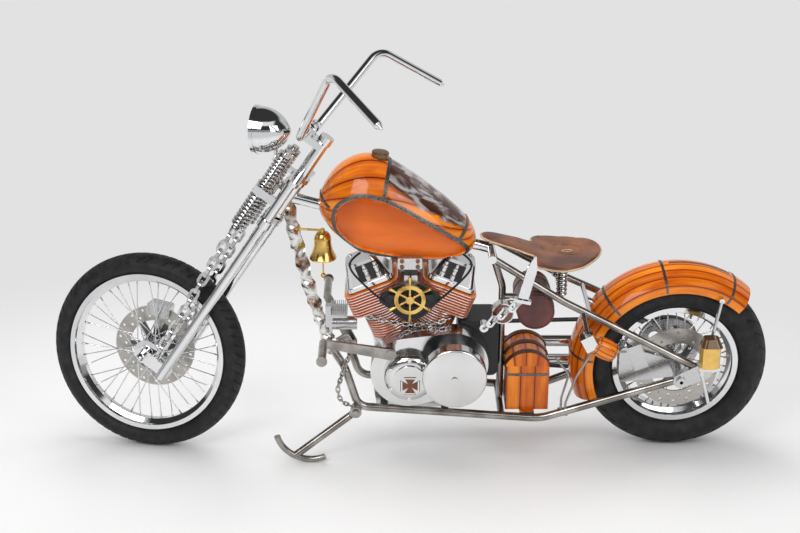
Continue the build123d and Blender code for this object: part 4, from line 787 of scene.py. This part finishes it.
# Seat: a saddle of waxed brown leather, stretched over a pan, with a laced cream edge.
# It is a closed form drawn out from the pan's middle and rolled over at its rim.
PAN_MIDDLE, SEAT_TILT = (420, 0, 753), radians(7.6)
PAN_RADIUS, CORNER_TURN = 148.0, 0.72
NOSE_REACH, NOSE_ROOT, NOSE_TIP = 225, 66, 37
PAN_CURVE = 356.0
SEAT_LINE = ((-150, 12), (-125, 1), (-80, -19), (-20, -29), (45, -29), (85, -19), (130, -8), (190, 0),
             (265, 9))
PAN_BASE = ((-150, 12), (-120, 5), (-70, -11), (-10, -21), (45, -21), (85, -13), (130, -7), (190, 0),
            (265, 9))
AROUND_SEAT = 160
SLOT_AHEAD, SLOT_LEFT = -38, -14


def hide(name, dark, light, size):
    """Waxed leather with pores, soft creases and paler worn places."""
    leather = Finish(name, dark, 0.0, 0.42, coat_weight=0.25, coat_roughness=0.3)
    cell = leather.node("ShaderNodeTexVoronoi", {"feature": "F1"}, Vector=leather.place, Scale=size)
    pore = Value(leather.tree, cell.outputs[0])
    patch = leather.noise(9, 4)
    leather.feed(
        base_color=leather.mix(patch.step(0.35, 0.72), dark, light),
        roughness=0.32 + patch * 0.25,
    )
    leather.bump(pore + leather.noise(60, 4) * 1.5, 0.0006, 0.55)
    return leather


brown = hide("saddle_leather", (0.075, 0.022, 0.011), (0.24, 0.085, 0.035), 420)
cream = hide("cream_lace", (0.42, 0.29, 0.17), (0.62, 0.47, 0.3), 600)
seat_run = ahead * cos(SEAT_TILT) + upward * sin(SEAT_TILT)
seat_up = upward * cos(SEAT_TILT) - ahead * sin(SEAT_TILT)
on_seat = ways(at(*PAN_MIDDLE), seat_run, side, seat_up)


def seat_edge(turn):
    """Distance of the seat's outline from the pan's middle, in a direction."""
    shoulder = within((abs(turn) - CORNER_TURN) / 0.4)
    best = PAN_RADIUS * (0.72 + 0.28 * shoulder * shoulder * (3 - 2 * shoulder))
    best = best if abs(turn) > CORNER_TURN else 0
    for blend in np.linspace(0, 1, 80):
        middle, radius = NOSE_REACH * blend, NOSE_ROOT + (NOSE_TIP - NOSE_ROOT) * blend
        reach = (middle * sin(turn)) ** 2
        if radius * radius >= reach:
            best = max(best, middle * cos(turn) + sqrt(radius * radius - reach))
    return max(best, PAN_RADIUS * (0.72 - max(CORNER_TURN - abs(turn), 0) * 0.9))


def seat_height(s, v):
    """Height of the leather's top above the pan's tangent plane, in millimetres."""
    middle = float(np.interp(s, *zip(*SEAT_LINE)))
    pan = within((110 - s) / 60)
    dish = pan * (abs(v) / PAN_RADIUS) ** 1.7 * (26 + 0.06 * -s)
    droop = sqrt(PAN_CURVE ** 2 - v * v) - PAN_CURVE
    return middle + dish + droop * (1 - 0.25 * pan)


def seat_base(s, v):
    """Height of the leather's underside, which rests on its springs near the pan's middle."""
    middle = float(np.interp(s, *zip(*PAN_BASE)))
    low = middle - 17.5 + (sqrt(PAN_CURVE ** 2 - v * v) - PAN_CURVE) * 0.75
    away = within((hypot(s, v) - 85) / 45)
    return low + (seat_height(s, v) - 15 - low) * away


rim_steps = [(share, 1.0) for share in np.linspace(0.04, 0.9, 20)]
rim_steps += [(0.94, 1.0), (0.97, 0.9), (0.99, 0.7), (1.0, 0.5), (0.99, 0.3), (0.97, 0.1), (0.94, 0.0)]
rim_steps += [(share, 0.0) for share in np.linspace(0.88, 0.04, 14)]
seat_turns = [-pi + 2 * pi * step / AROUND_SEAT for step in range(AROUND_SEAT)]
vertices, edge_line = [], []
for share, top_share in rim_steps:
    for turn in seat_turns:
        reach = seat_edge(turn) * share
        s, v = reach * cos(turn), reach * sin(turn)
        top = seat_height(s, v) + 1.5
        low = seat_base(s, v)
        vertices.append(on_seat(s, v, low + (top - low) * top_share))
for turn in seat_turns:
    reach = seat_edge(turn) + 0.2
    s, v = reach * cos(turn), reach * sin(turn)
    edge_line.append(on_seat(s, v, (seat_height(s, v) + seat_base(s, v)) / 2))
saddle = piece("saddle", vertices, shell(len(rim_steps), AROUND_SEAT), brown, "frame", 60)
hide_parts("seat")


def rope(name, line, radius, finish, closed=True, twist=0.0):
    """A round cord or bead along a line of close points, which may swell like stitches."""
    vertices = []
    count = len(line)
    for index, spot in enumerate(line):
        before = line[index - 1] if closed or index else line[index]
        after = line[(index + 1) % count] if closed or index < count - 1 else line[index]
        run = (after - before).normalized()
        across = run.cross(seat_up if abs(run.dot(seat_up)) < 0.9 else side).normalized()
        beside = run.cross(across)
        swell = radius * (1 + twist * (1 if index % 2 else -1))
        for corner in range(8):
            turn = 2 * pi * corner / 8
            vertices.append(spot + (across * cos(turn) + beside * sin(turn)) * swell / 1000)
    return piece(name, vertices, grid(count, 8, closed, True), finish, "frame", 60)


def on_leather(s, v, lift):
    """A place that many millimetres above the leather's top."""
    return on_seat(s, v, seat_height(s, v) + lift)


rope("saddle_lace", edge_line, 3.4, cream, True, 0.12)
slot_line = [on_leather(SLOT_AHEAD + 17 * cos(turn), SLOT_LEFT + 8 * sin(turn), 2.2)
             for turn in full_turn(40)]
rope("saddle_slot_rim", slot_line, 1.6, cream)
seam = [on_leather(SLOT_AHEAD + (26 + 7 * turn) * cos(turn) * 1.1,
                   SLOT_LEFT + (20 + 6.5 * turn) * sin(turn), 1.6)
        for turn in np.linspace(0.4, 5.4, 90)]
rope("saddle_seam", seam, 1.1, brown, False)


# Rear fender: the same lacquered planks swept round the wheel, with four pewter bands round its
# section and one along its crown. The planks are told by their angle about the section's middle.
FENDER_MIDDLE, FENDER_CROWN = 262, 350
FENDER_BANDS, BAND_HALF = (6.5, 45.5, 80, 121), 4.5
LOOK_FROM = 150
fender_finish = lacquer("fender_planks")
fender_ahead, fender_left, fender_up = fender_finish.upright()
rise = fender_up - REAR_RADIUS / 1000
fender_radius = fender_ahead.far(rise)
fender_turn = rise.math("ARCTAN2", fender_ahead)
section_turn = fender_left.math("ABSOLUTE").math("ARCTAN2", fender_radius - FENDER_MIDDLE / 1000)
fender_finish.feed(base_color=planks(fender_finish, section_turn * 3.4 + 0.5, fender_turn * 0.34))
paint(fender_finish, "rear_fender")
fender_skin = skin("rear_fender")


def fender_line(turn, half):
    """Pairs of points to look from and towards, over the fender at an angle about the axle."""
    def seek(section, shift):
        bearing = turn + shift / FENDER_CROWN
        wide = LOOK_FROM * sin(section)
        reach = FENDER_MIDDLE + LOOK_FROM * cos(section)
        inner = rear_hub(cos(bearing) * FENDER_MIDDLE, 0, sin(bearing) * FENDER_MIDDLE)
        return rear_hub(cos(bearing) * reach, wide, sin(bearing) * reach), inner
    return [[seek(section, shift) for shift in across_strap(half)]
            for section in np.linspace(-radians(74), radians(74), 56)]


for number, degrees_round in enumerate(FENDER_BANDS):
    rows = fender_line(radians(degrees_round), BAND_HALF)
    laid(f"fender_band_{number + 1}", fender_skin, rows, 1.6, strap_metal)
    rivet(f"fender_rivets_{number + 1}", [find(fender_skin, *row[2]) for row in rows[3::7]])
above_crown = FENDER_MIDDLE + LOOK_FROM + 8
ridge = [[(rear_hub(cos(bearing) * above_crown, shift, sin(bearing) * above_crown), rear_hub(0, shift, 0))
          for shift in across_strap(BAND_HALF)] for bearing in np.linspace(radians(84), radians(118), 30)]
laid("fender_ridge_band", fender_skin, ridge, 1.6, strap_metal)


# Oil chest: a small planked chest with a rounded lid, on a dark foot. A riveted pewter strap goes
# round it below the lid, and three bands of dark wood go over the lid.
CHEST_AHEAD, CHEST_LEFT = 514, 7
CHEST_BOARD = 0.0493
LID_EDGE, FOOT_EDGE = (0.3425, 0.3435), (0.1755, 0.1765)
CHEST_STRAP = 311
LID_BANDS, LID_BAND_HALF = (86, 10, -66), 12
chest_finish = lacquer("chest_planks")
chest_ahead, chest_left, chest_up = chest_finish.upright()
chest_boards = planks(chest_finish, (chest_ahead - 0.44 + chest_left * 0.999) / CHEST_BOARD, chest_up)
lid = chest_up.step(*LID_EDGE)
lid_boards = planks(chest_finish, chest_up.math("ARCTAN2", chest_ahead - CHEST_AHEAD / 1000) * 9, chest_left)
chest_foot = 1 - chest_up.step(*FOOT_EDGE)
chest_tone = chest_finish.mix(lid, chest_boards, lid_boards)
chest_finish.feed(base_color=chest_finish.mix(chest_foot, chest_tone, (0.03, 0.03, 0.032)))
paint(chest_finish, "oil_chest")
chest_skin = skin("oil_chest")


def girdle(height, half):
    """Rows round the chest at a height, to look for a strap from outside it."""
    rows = []
    for turn in full_turn(120):
        x, y = CHEST_AHEAD + 200 * cos(turn), CHEST_LEFT + 200 * sin(turn)
        rows.append([(at(x, y, height + shift), at(CHEST_AHEAD, CHEST_LEFT, height + shift))
                     for shift in across_strap(half)])
    return rows


laid("chest_strap", chest_skin, girdle(CHEST_STRAP, 5), 1.4, strap_metal, True)
chest_rivets = [find(chest_skin, at(x, y, CHEST_STRAP), at(x, 0, CHEST_STRAP))
                for x in (456, 485, 514, 543, 572) for y in (300, -300)]
chest_rivets += [find(chest_skin, at(x, y, CHEST_STRAP), at(CHEST_AHEAD, y, CHEST_STRAP))
                 for y in (-60, -15, 30, 75) for x in (300, 700)]
rivet("chest_rivets", chest_rivets, 0.0012, 10)
dark_wood = Finish("dark_wood", (0.05, 0.016, 0.008), 0.0, 0.45, coat_weight=0.15, specular_ior_level=0.2)
dark_grain = dark_wood.noise(30, 4)
dark_wood.feed(base_color=dark_wood.mix(dark_grain, (0.03, 0.01, 0.006), (0.1, 0.032, 0.014)))
for number, y_line in enumerate(LID_BANDS):
    rows = [[(at(CHEST_AHEAD + 120 * cos(turn), y_line + shift, 345 + 120 * sin(turn)),
              at(CHEST_AHEAD, y_line + shift, 340))
             for shift in across_strap(LID_BAND_HALF)] for turn in np.linspace(radians(2), radians(178), 40)]
    laid(f"chest_lid_band_{number + 1}", chest_skin, rows, 3.0, dark_wood)


# Tool drum: a roll of dark red leather under the seat, with laced rims and two brown straps.
# A chromed clamp in front holds it to the frame.
DRUM_AHEAD, DRUM_UP = 496, 558
LACE_RADIUS = 60.5
DRUM = ((20, 1), (46, 0.5), (57, 1.5), (62, 4), (63.4, 9), (62.4, 16), (63.2, 60), (63.6, 108), (63.2, 156),
        (62.4, 200), (63.4, 207), (62, 212), (57, 214.5), (46, 215.5), (20, 215))
CLAMP = ((15, -6), (15, 34), (11, 36))
DRUM_STRAP = ((62, 0), (65, 0.6), (65.3, 3), (65.3, 15), (65, 17.4), (62, 18))
maroon = hide("tool_leather", (0.05, 0.009, 0.008), (0.14, 0.03, 0.022), 380)
roll = lathe("tool_roll", [(at(DRUM_AHEAD, -92, DRUM_UP), side)], DRUM, 72, maroon, "frame", 60)
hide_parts("tool_drum")
for word, y_rim in (("left", 122), ("right", -90)):
    rim = [at(DRUM_AHEAD + LACE_RADIUS * cos(turn), y_rim, DRUM_UP + LACE_RADIUS * sin(turn))
           for turn in full_turn(120)]
    rope(f"tool_roll_lace_{word}", rim, 2.6, maroon, True, 0.2)
for number, y_strap in enumerate((84, -46)):
    lathe(f"tool_roll_strap_{number + 1}", [(at(DRUM_AHEAD, y_strap - 9, DRUM_UP), side)],
          DRUM_STRAP, 72, brown, "frame", 60)
lathe("tool_roll_clamp", [(at(558, 0, DRUM_UP), ahead)], CLAMP, 24, chrome, "frame")


# Canister: a small planked barrel with two pewter hoops, held by a chrome block on the frame.
# It lies along a line that goes down and back.
CANISTER_TOP = (301, 198, 474.9)
CANISTER_HOOPS = (8, 66)
CANISTER_RADIUS, CANISTER_BOARDS = 31.9, 12
CANISTER_LEAN = radians(62)
barrel_finish = lacquer("barrel_planks")
barrel_ahead, barrel_left, barrel_up = barrel_finish.upright()
down_run = (-sin(CANISTER_LEAN), -cos(CANISTER_LEAN))
away_x, away_z = barrel_ahead - CANISTER_TOP[0] / 1000, barrel_up - CANISTER_TOP[2] / 1000
lengthwise = away_x * down_run[0] + away_z * down_run[1]
crosswise = away_x * down_run[1] - away_z * down_run[0]
barrel_turn = crosswise.math("ARCTAN2", barrel_left - CANISTER_TOP[1] / 1000)
canister_boards = planks(barrel_finish, barrel_turn * (CANISTER_BOARDS / (2 * pi)), lengthwise)
barrel_finish.feed(base_color=canister_boards)
paint(barrel_finish, "canister")
barrel_way = (ahead * down_run[0] + upward * down_run[1]).normalized()
canister_hoop = tuple((CANISTER_RADIUS + out, along) for out, along in (
    (-2, -0.4), (0.6, 0), (1.2, 2.5), (0.6, 5), (-2, 5.4)))
for number, spot in enumerate(CANISTER_HOOPS):
    foot = at(*CANISTER_TOP) + barrel_way * (spot - 2.5) / 1000
    lathe(f"canister_hoop_{number + 1}", [(foot, barrel_way)], canister_hoop, 40, strap_metal, "frame", 50)
paint(chrome, "canister_block")


# Barrels and heads: orange enamel whose fins have bare bright edges, and painted shade deep between the fins.
# The edges are told by the distance from each barrel's axis, which leans from the crank.
CRANK_AHEAD, CRANK_UP = 917, 300
BARREL_LEAN = radians(22.5)
HEAD_FOOT = (0.2659, 0.2662)
BARREL_EDGE, HEAD_EDGE = (0.0712, 0.0722), (0.0325, 0.0333)


def barrel_places(finish):
    """Places beside a barrel's axis, inwards negative, and along it from the crank, in metres."""
    x, y, z = finish.upright()
    beside_crank, above = (x - CRANK_AHEAD / 1000).math("ABSOLUTE"), z - CRANK_UP / 1000
    return (beside_crank * cos(BARREL_LEAN) - above * sin(BARREL_LEAN), y,
            beside_crank * sin(BARREL_LEAN) + above * cos(BARREL_LEAN))


enamel = Finish("fin_enamel", (0.62, 0.12, 0.01), 0.0, 0.3)
sideways, fin_left, outward = barrel_places(enamel)
reach = sideways.far(fin_left)
corner_x = (sideways.math("ABSOLUTE") - 0.064).math("MAXIMUM", 0)
corner_y = (fin_left.math("ABSOLUTE") - 0.05).math("MAXIMUM", 0)
corner = corner_x.far(corner_y)
on_head = outward.step(*HEAD_FOOT)
bare = (1 - on_head) * reach.step(*BARREL_EDGE) + on_head * corner.step(*HEAD_EDGE)
# Painted shade: the enamel darkens towards each barrel's axis between the fins, and towards the middle of
# each head, where shade falls between the fins.
deep = (1 - on_head) * (1 - reach.step(0.055, 0.063)) + on_head * (1 - corner.step(0.008, 0.022))
soot = enamel.noise(40, 4)
orange = enamel.mix(deep, (0.95, 0.25, 0.014), (0.2, 0.03, 0.004))
enamel.feed(
    base_color=enamel.mix(bare, orange, (0.78, 0.77, 0.75)),
    metallic=bare * 0.95,
    roughness=0.22 + soot * 0.2,
)
paint(enamel, "cylinders", "heads")


# Engine cases: cast silver, polished on the covers and dull elsewhere, and a black gearbox.
# The rocker boxes are chromed, with a dark window in each side, and the timing block is black with
# a bright top and two bright fields.
WINDOW_WIDE, WINDOW_TALL = (-0.021, 0.044, 0.001), (0.406, 0.029, 0.001)
polished = worn("polished_case", (0.6, 0.6, 0.6), (0.82, 0.82, 0.82), 1.0, (8, 3), (0.07, 0.14))
paint(polished, "primary_case", "engine_cover", "clutch_drum", "cam_cover")
rocker_finish = Finish("rocker_chrome", (0.74, 0.74, 0.74), 1.0, 0.12)
rocker_side, rocker_left, rocker_out = barrel_places(rocker_finish)
window = rocker_side.band(*WINDOW_WIDE) * rocker_out.band(*WINDOW_TALL)
window = window * rocker_left.math("ABSOLUTE").step(0.045, 0.046)
rocker_tone = rocker_finish.noise(9, 3)
rocker_metal = rocker_finish.mix(rocker_tone, (0.5, 0.5, 0.51), (0.82, 0.82, 0.82))
rocker_finish.feed(
    base_color=rocker_finish.mix(window, rocker_metal, (0.016, 0.015, 0.015)),
    metallic=1 - window,
    roughness=0.07 + rocker_tone * 0.12 + window * 0.3,
)
paint(rocker_finish, "rocker_boxes")
timing_finish = Finish("timing_block", (0.74, 0.74, 0.74), 1.0, 0.25)
timing_ahead, _, timing_up = timing_finish.upright()
split = (timing_ahead - CRANK_AHEAD / 1000).math("ABSOLUTE").step(0.002, 0.0025)
bright = timing_up.step(0.7205, 0.7215) + timing_up.band(0.683, 0.016, 0.001) * split
brushed = timing_finish.noise(130, 4)
timing_metal = timing_finish.mix(brushed, (0.5, 0.5, 0.5), (0.78, 0.78, 0.77))
timing_finish.feed(
    base_color=timing_finish.mix(bright, (0.014, 0.014, 0.015), timing_metal),
    metallic=bright * 0.96,
    roughness=0.2 + brushed * 0.2,
)
paint(timing_finish, "timing_block")
paint(satin, "crankcase", "regulator", "carburettor")
black = Finish("black_case", (0.02, 0.02, 0.022), 0.3, 0.4)
black_grain = black.noise(200, 3)
black.feed(roughness=0.3 + black_grain * 0.25)
black.bump(black_grain, 0.0003, 0.5)
paint(black, "gearbox", "engine_mounts")
paint(chrome, "exhausts")


# Engine bolts: chromed socket bolts on the engine cover and the rocker boxes, bronze ones on the
# timing block, and short stepped tubes of chrome that stand beside the rocker boxes.
BOLT = ((7.5, -2), (7.5, 3), (6.8, 4), (4.2, 4), (4.0, 2), (0.6, 2))
COVER_AHEAD, COVER_UP, COVER_CIRCLE = 921, 340, 72
TUBE = ((11, 0), (11, 18), (8.5, 20), (8.5, 34), (10, 36), (10, 44), (7, 46), (7, 56), (5, 58))


def on_barrels(places, out):
    """Feet that far out from the crank on both barrels, inwards negative, with their direction."""
    feet = []
    for flank in (1, -1):
        tip_x, tip_z = flank * sin(BARREL_LEAN), cos(BARREL_LEAN)
        for beside_axis, y in places:
            spot = at(CRANK_AHEAD + tip_x * out + tip_z * beside_axis * flank, y,
                      CRANK_UP + tip_z * out - tip_x * beside_axis * flank)
            feet.append((spot, ahead * tip_x + upward * tip_z))
    return feet


cover_skin = skin("engine_cover")
cover_feet = []
for degrees_round in (30, 90, 150, 210, 270, 330):
    turn = radians(degrees_round)
    spot = at(COVER_AHEAD + COVER_CIRCLE * cos(turn), 190, COVER_UP + COVER_CIRCLE * sin(turn))
    cover_feet.append((find(cover_skin, spot + side * 0.2, spot)[0], side))
timing_feet = [(at(920 + dx, 136, 741 + dz), side) for dx in (-26, 26) for dz in (-10, 10)]
rocker_feet = on_barrels(((-38, -40), (-38, 40), (38, -40), (38, 40)), 446)
tube_feet = on_barrels(((-44, 57), (-6, 57), (-44, -57), (-6, -57)), 376)
lathe("cover_bolts", cover_feet, BOLT, 12, chrome, "frame")
lathe("timing_bolts", timing_feet, BOLT, 12, cap_metal, "frame")
lathe("rocker_bolts", rocker_feet, BOLT, 12, chrome, "frame")
lathe("rocker_tubes", tube_feet, TUBE, 20, chrome, "frame")


# Engine plate: a black plate with rounded edges that fills the space between the barrels, behind
# the ship's wheel. It hangs on the timing block's two rods.
PLATE = ((1023, 593), (1007, 623), (962, 648), (917, 656), (872, 648), (830, 623), (815, 598), (838, 571),
         (872, 536), (917, 520), (962, 536), (1000, 571))
PLATE_RINGS = ((0.97, 97), (1.0, 98.5), (1.0, 102.5), (0.97, 104), (0.86, 104), (0.84, 102.5), (0.5, 102.5))
plate_line = smooth_loop(PLATE, 96)
middle_x, middle_z = sum(plate_line) / len(plate_line)
plate_spots = [at(middle_x + (x - middle_x) * scale, y, middle_z + (z - middle_z) * scale)
               for scale, y in PLATE_RINGS for x, z in plate_line]
piece("engine_plate", plate_spots, shell(len(PLATE_RINGS), len(plate_line)), black, "frame", 25)


# Light chains: oval links of welded wire. One lies over the lower fins from the front barrel to the
# rear one, and another hangs from the foot control's bar to the rail above the side stand.
LINK_STEPS = 24
FIN_CHAIN = ((1064, 518), (1046, 513), (1020, 508), (975, 499), (946, 492), (912, 487), (885, 487),
             (854, 494), (816, 502), (792, 507), (772, 512))
STAND_CHAIN = ((1156, 152, 318), (1164, 153, 280), (1153, 152, 240))


def squarish(value):
    """A sine or cosine drawn out towards 1 and -1, which makes a circle into a rounded oblong."""
    return (1 if value > 0 else -1) * abs(value) ** 0.7


def chain_links(name, knots, pitch, wire, half_width, finish):
    """Oval links, turned a quarter from one to the next, along a smooth line in millimetres."""
    line = smooth_loop(knots, 400, False)
    lengths = np.concatenate(([0], np.cumsum([np.linalg.norm(b - a) for a, b in zip(line, line[1:])])))
    vertices, faces = [], []

    def on_line(place):
        return Vector([np.interp(place, lengths, [spot[axis] for spot in line]) for axis in range(3)])

    for number, place in enumerate(np.arange(pitch / 2, lengths[-1], pitch)):
        middle = on_line(place)
        run = (on_line(place + 2) - on_line(place - 2)).normalized()
        flat = run.cross(Vector((0, 1, 0))).normalized()
        if number % 2:
            flat = (flat * 0.35 + run.cross(flat) * 0.94).normalized()
        off = run.cross(flat)
        base = len(vertices)
        for step in range(LINK_STEPS):
            turn = 2 * pi * step / LINK_STEPS
            bow_run = run * (pitch * 0.5 * squarish(cos(turn)) + wire * cos(turn))
            bow_flat = flat * (half_width * squarish(sin(turn)))
            out = (run * cos(turn) + flat * sin(turn)).normalized()
            for corner in range(8):
                around_wire = 2 * pi * corner / 8
                vertices.append(at(*(middle + bow_run + bow_flat
                                     + (out * cos(around_wire) + off * sin(around_wire)) * wire)))
        faces += [tuple(base + corner for corner in face) for face in grid(LINK_STEPS, 8, True, True)]
    return piece(name, vertices, faces, finish, "frame", 60)


fins = skin("cylinders")
chain_spots = []
for x, z in FIN_CHAIN:
    spot, _ = find(fins, at(x, 300, z), at(x, 0, z))
    chain_spots.append((x, max((spot - at(x, 0, z)).dot(side) * 1000, 62) + 6.5, z))
chain_links("fin_chain", chain_spots, 21, 2.7, 7.2, wire_steel)
chain_ends = [skin(node).find_nearest(goal)[0] - under_axle for node, goal in (
    ("foot_controls", at(1140, 150, 345)), ("lower_rails", at(1135, 150, 225)))]
chain_top, chain_foot = (tuple(spot.dot(way) * 1000 for way in (ahead, side, upward)) for spot in chain_ends)
chain_links("stand_chain", (chain_top, *STAND_CHAIN, chain_foot), 17, 2.6, 6.2, pewter)


# Cross ornament: a four-armed cross of rust-coloured enamel in a silver border and a black rim.
# It is made of three plates on the engine cover.
CROSS_AHEAD, CROSS_UP = 919, 322
rust = worn("rust_enamel", (0.1, 0.032, 0.014), (0.26, 0.1, 0.045), 0.3, (120, 4), 0.45, bump=(0.0004, 0.6))


def cross(name, size, y_foot, y_face, finish):
    """A plate shaped as a cross whose arms widen outwards."""
    waist, flare = size * 0.17, size * 0.64
    corners = []
    for quarter in range(4):
        turn = quarter * pi / 2
        for along_arm, off in ((waist, -waist), (size, -flare), (size, flare)):
            corners.append((along_arm * cos(turn) - off * sin(turn), along_arm * sin(turn) + off * cos(turn)))
    spots = [at(CROSS_AHEAD + x, y, CROSS_UP + z) for y in (y_foot, y_face) for x, z in corners]
    count = len(corners)
    faces = grid(2, count, False, True)
    faces.append(tuple(range(count)))
    faces.append(tuple(count + step for step in reversed(range(count))))
    piece(name, spots, faces, finish, "frame")


cross("cover_cross_rim", 33, 202, 204.4, black)
cross("cover_cross_border", 31, 202, 205.2, chrome)
cross("cover_cross", 26, 203, 206.2, rust)


# Ship's wheel and bell: cast and turned in warm brass, with brown tarnish in patches.
# The wheel sits before the engine plate, and the bell hangs on its own.
brass = worn("brass", (0.82, 0.55, 0.17), (0.4, 0.22, 0.05), 1.0, (22, 5), (0.12, 0.22), (0.38, 0.72))
paint(brass, "ships_wheel", "bell")


# Tail lamp: a small lantern with a dark bronze roof and amber glass on a bright bracket.
# Roof, glass and bracket are told by height.
ROOF_EDGE, BRACKET_EDGE = (0.4695, 0.4705), (0.3915, 0.3925)
lantern = Finish("lantern", (0.8, 0.5, 0.1), 0.2, 0.25, coat_weight=0.6)
lantern_up = lantern.upright()[2]
roof = lantern_up.step(*ROOF_EDGE)
bracket = 1 - lantern_up.step(*BRACKET_EDGE)
glass_tone = lantern.noise(40, 3)
glass = lantern.mix(glass_tone, (0.85, 0.55, 0.12), (0.6, 0.33, 0.05))
lantern.feed(
    base_color=lantern.mix(bracket, lantern.mix(roof, glass, (0.13, 0.07, 0.025)), (0.75, 0.75, 0.75)),
    metallic=bracket * 0.98 + roof * 0.5,
    roughness=0.16 + glass_tone * 0.14,
)
paint(lantern, "tail_lamp")


# Horn: a round disc of brown enamel with a chromed rim.
# The rim is told by the distance from the disc's middle.
HORN_AHEAD, HORN_UP = 0.606, 0.547
horn_finish = Finish("horn_enamel", (0.12, 0.028, 0.012), 0.0, 0.15, coat_weight=0.8)
horn_ahead, _, horn_up = horn_finish.upright()
ring_x, ring_z = horn_ahead - HORN_AHEAD, horn_up - HORN_UP
from_middle = ring_x.far(ring_z)
horn_rim = from_middle.step(0.0335, 0.0345)
horn_finish.feed(
    base_color=horn_finish.mix(horn_rim, (0.14, 0.03, 0.012), (0.7, 0.7, 0.7)),
    metallic=horn_rim * 0.98,
    roughness=0.1 + horn_finish.noise(60, 2) * 0.12,
)
paint(horn_finish, "horn")


# Brake hoses: rubber hoses in a braided steel sleeve.
# The braid is two waves that cross along each hose.
BRAID_RISE, BRAID_TURN = 2600, 1800
braid = Finish("braided_hose", (0.4, 0.39, 0.37), 0.8, 0.35)
braid_up = braid.upright()[2]
one_way = (braid_up * BRAID_RISE + braid.x * BRAID_TURN).math("SINE")
weave = one_way * (braid_up * BRAID_RISE - braid.y * BRAID_TURN).math("SINE")
braid.feed(base_color=braid.mix(weave * 0.5 + 0.5, (0.16, 0.155, 0.15), (0.6, 0.59, 0.57)))
braid.bump(weave * 0.5 + 0.5, 0.0005, 0.8)
paint(braid, "brake_hoses")


# Spark leads: thin black leads from the rocker boxes down to the engine plate.
# They are clipped at both ends, and each follows a smooth line.
LEAD_RADIUS = 3.8
LEAD = ((170, 52, 745), (182, 88, 752), (206, 98, 728), (198, 102, 700), (170, 106, 668), (132, 109, 630),
        (98, 108, 598), (86, 100, 590))
curve = bpy.data.curves.new("spark_leads", "CURVE")
curve.dimensions = "3D"
curve.bevel_depth = LEAD_RADIUS / 1000
curve.bevel_resolution = 3
curve.resolution_u = 10
curve.use_fill_caps = True
for flank in (1, -1):
    spline = curve.splines.new("NURBS")
    spline.points.add(len(LEAD) - 1)
    for knot, (x, y, z) in zip(spline.points, LEAD):
        knot.co = (*at(CRANK_AHEAD + flank * x, y, z), 1)
    spline.order_u = 3
    spline.use_endpoint_u = True
lead_line = placed("spark_leads_line", curve)
bpy.context.view_layer.update()
lead_mesh = bpy.data.meshes.new_from_object(lead_line.evaluated_get(bpy.context.evaluated_depsgraph_get()))
bpy.data.objects.remove(lead_line)
spark_leads = placed("spark_leads", lead_mesh)
lead_mesh.polygons.foreach_set("use_smooth", [True] * len(lead_mesh.polygons))
paint(rubber, spark_leads)
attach(spark_leads, "frame")
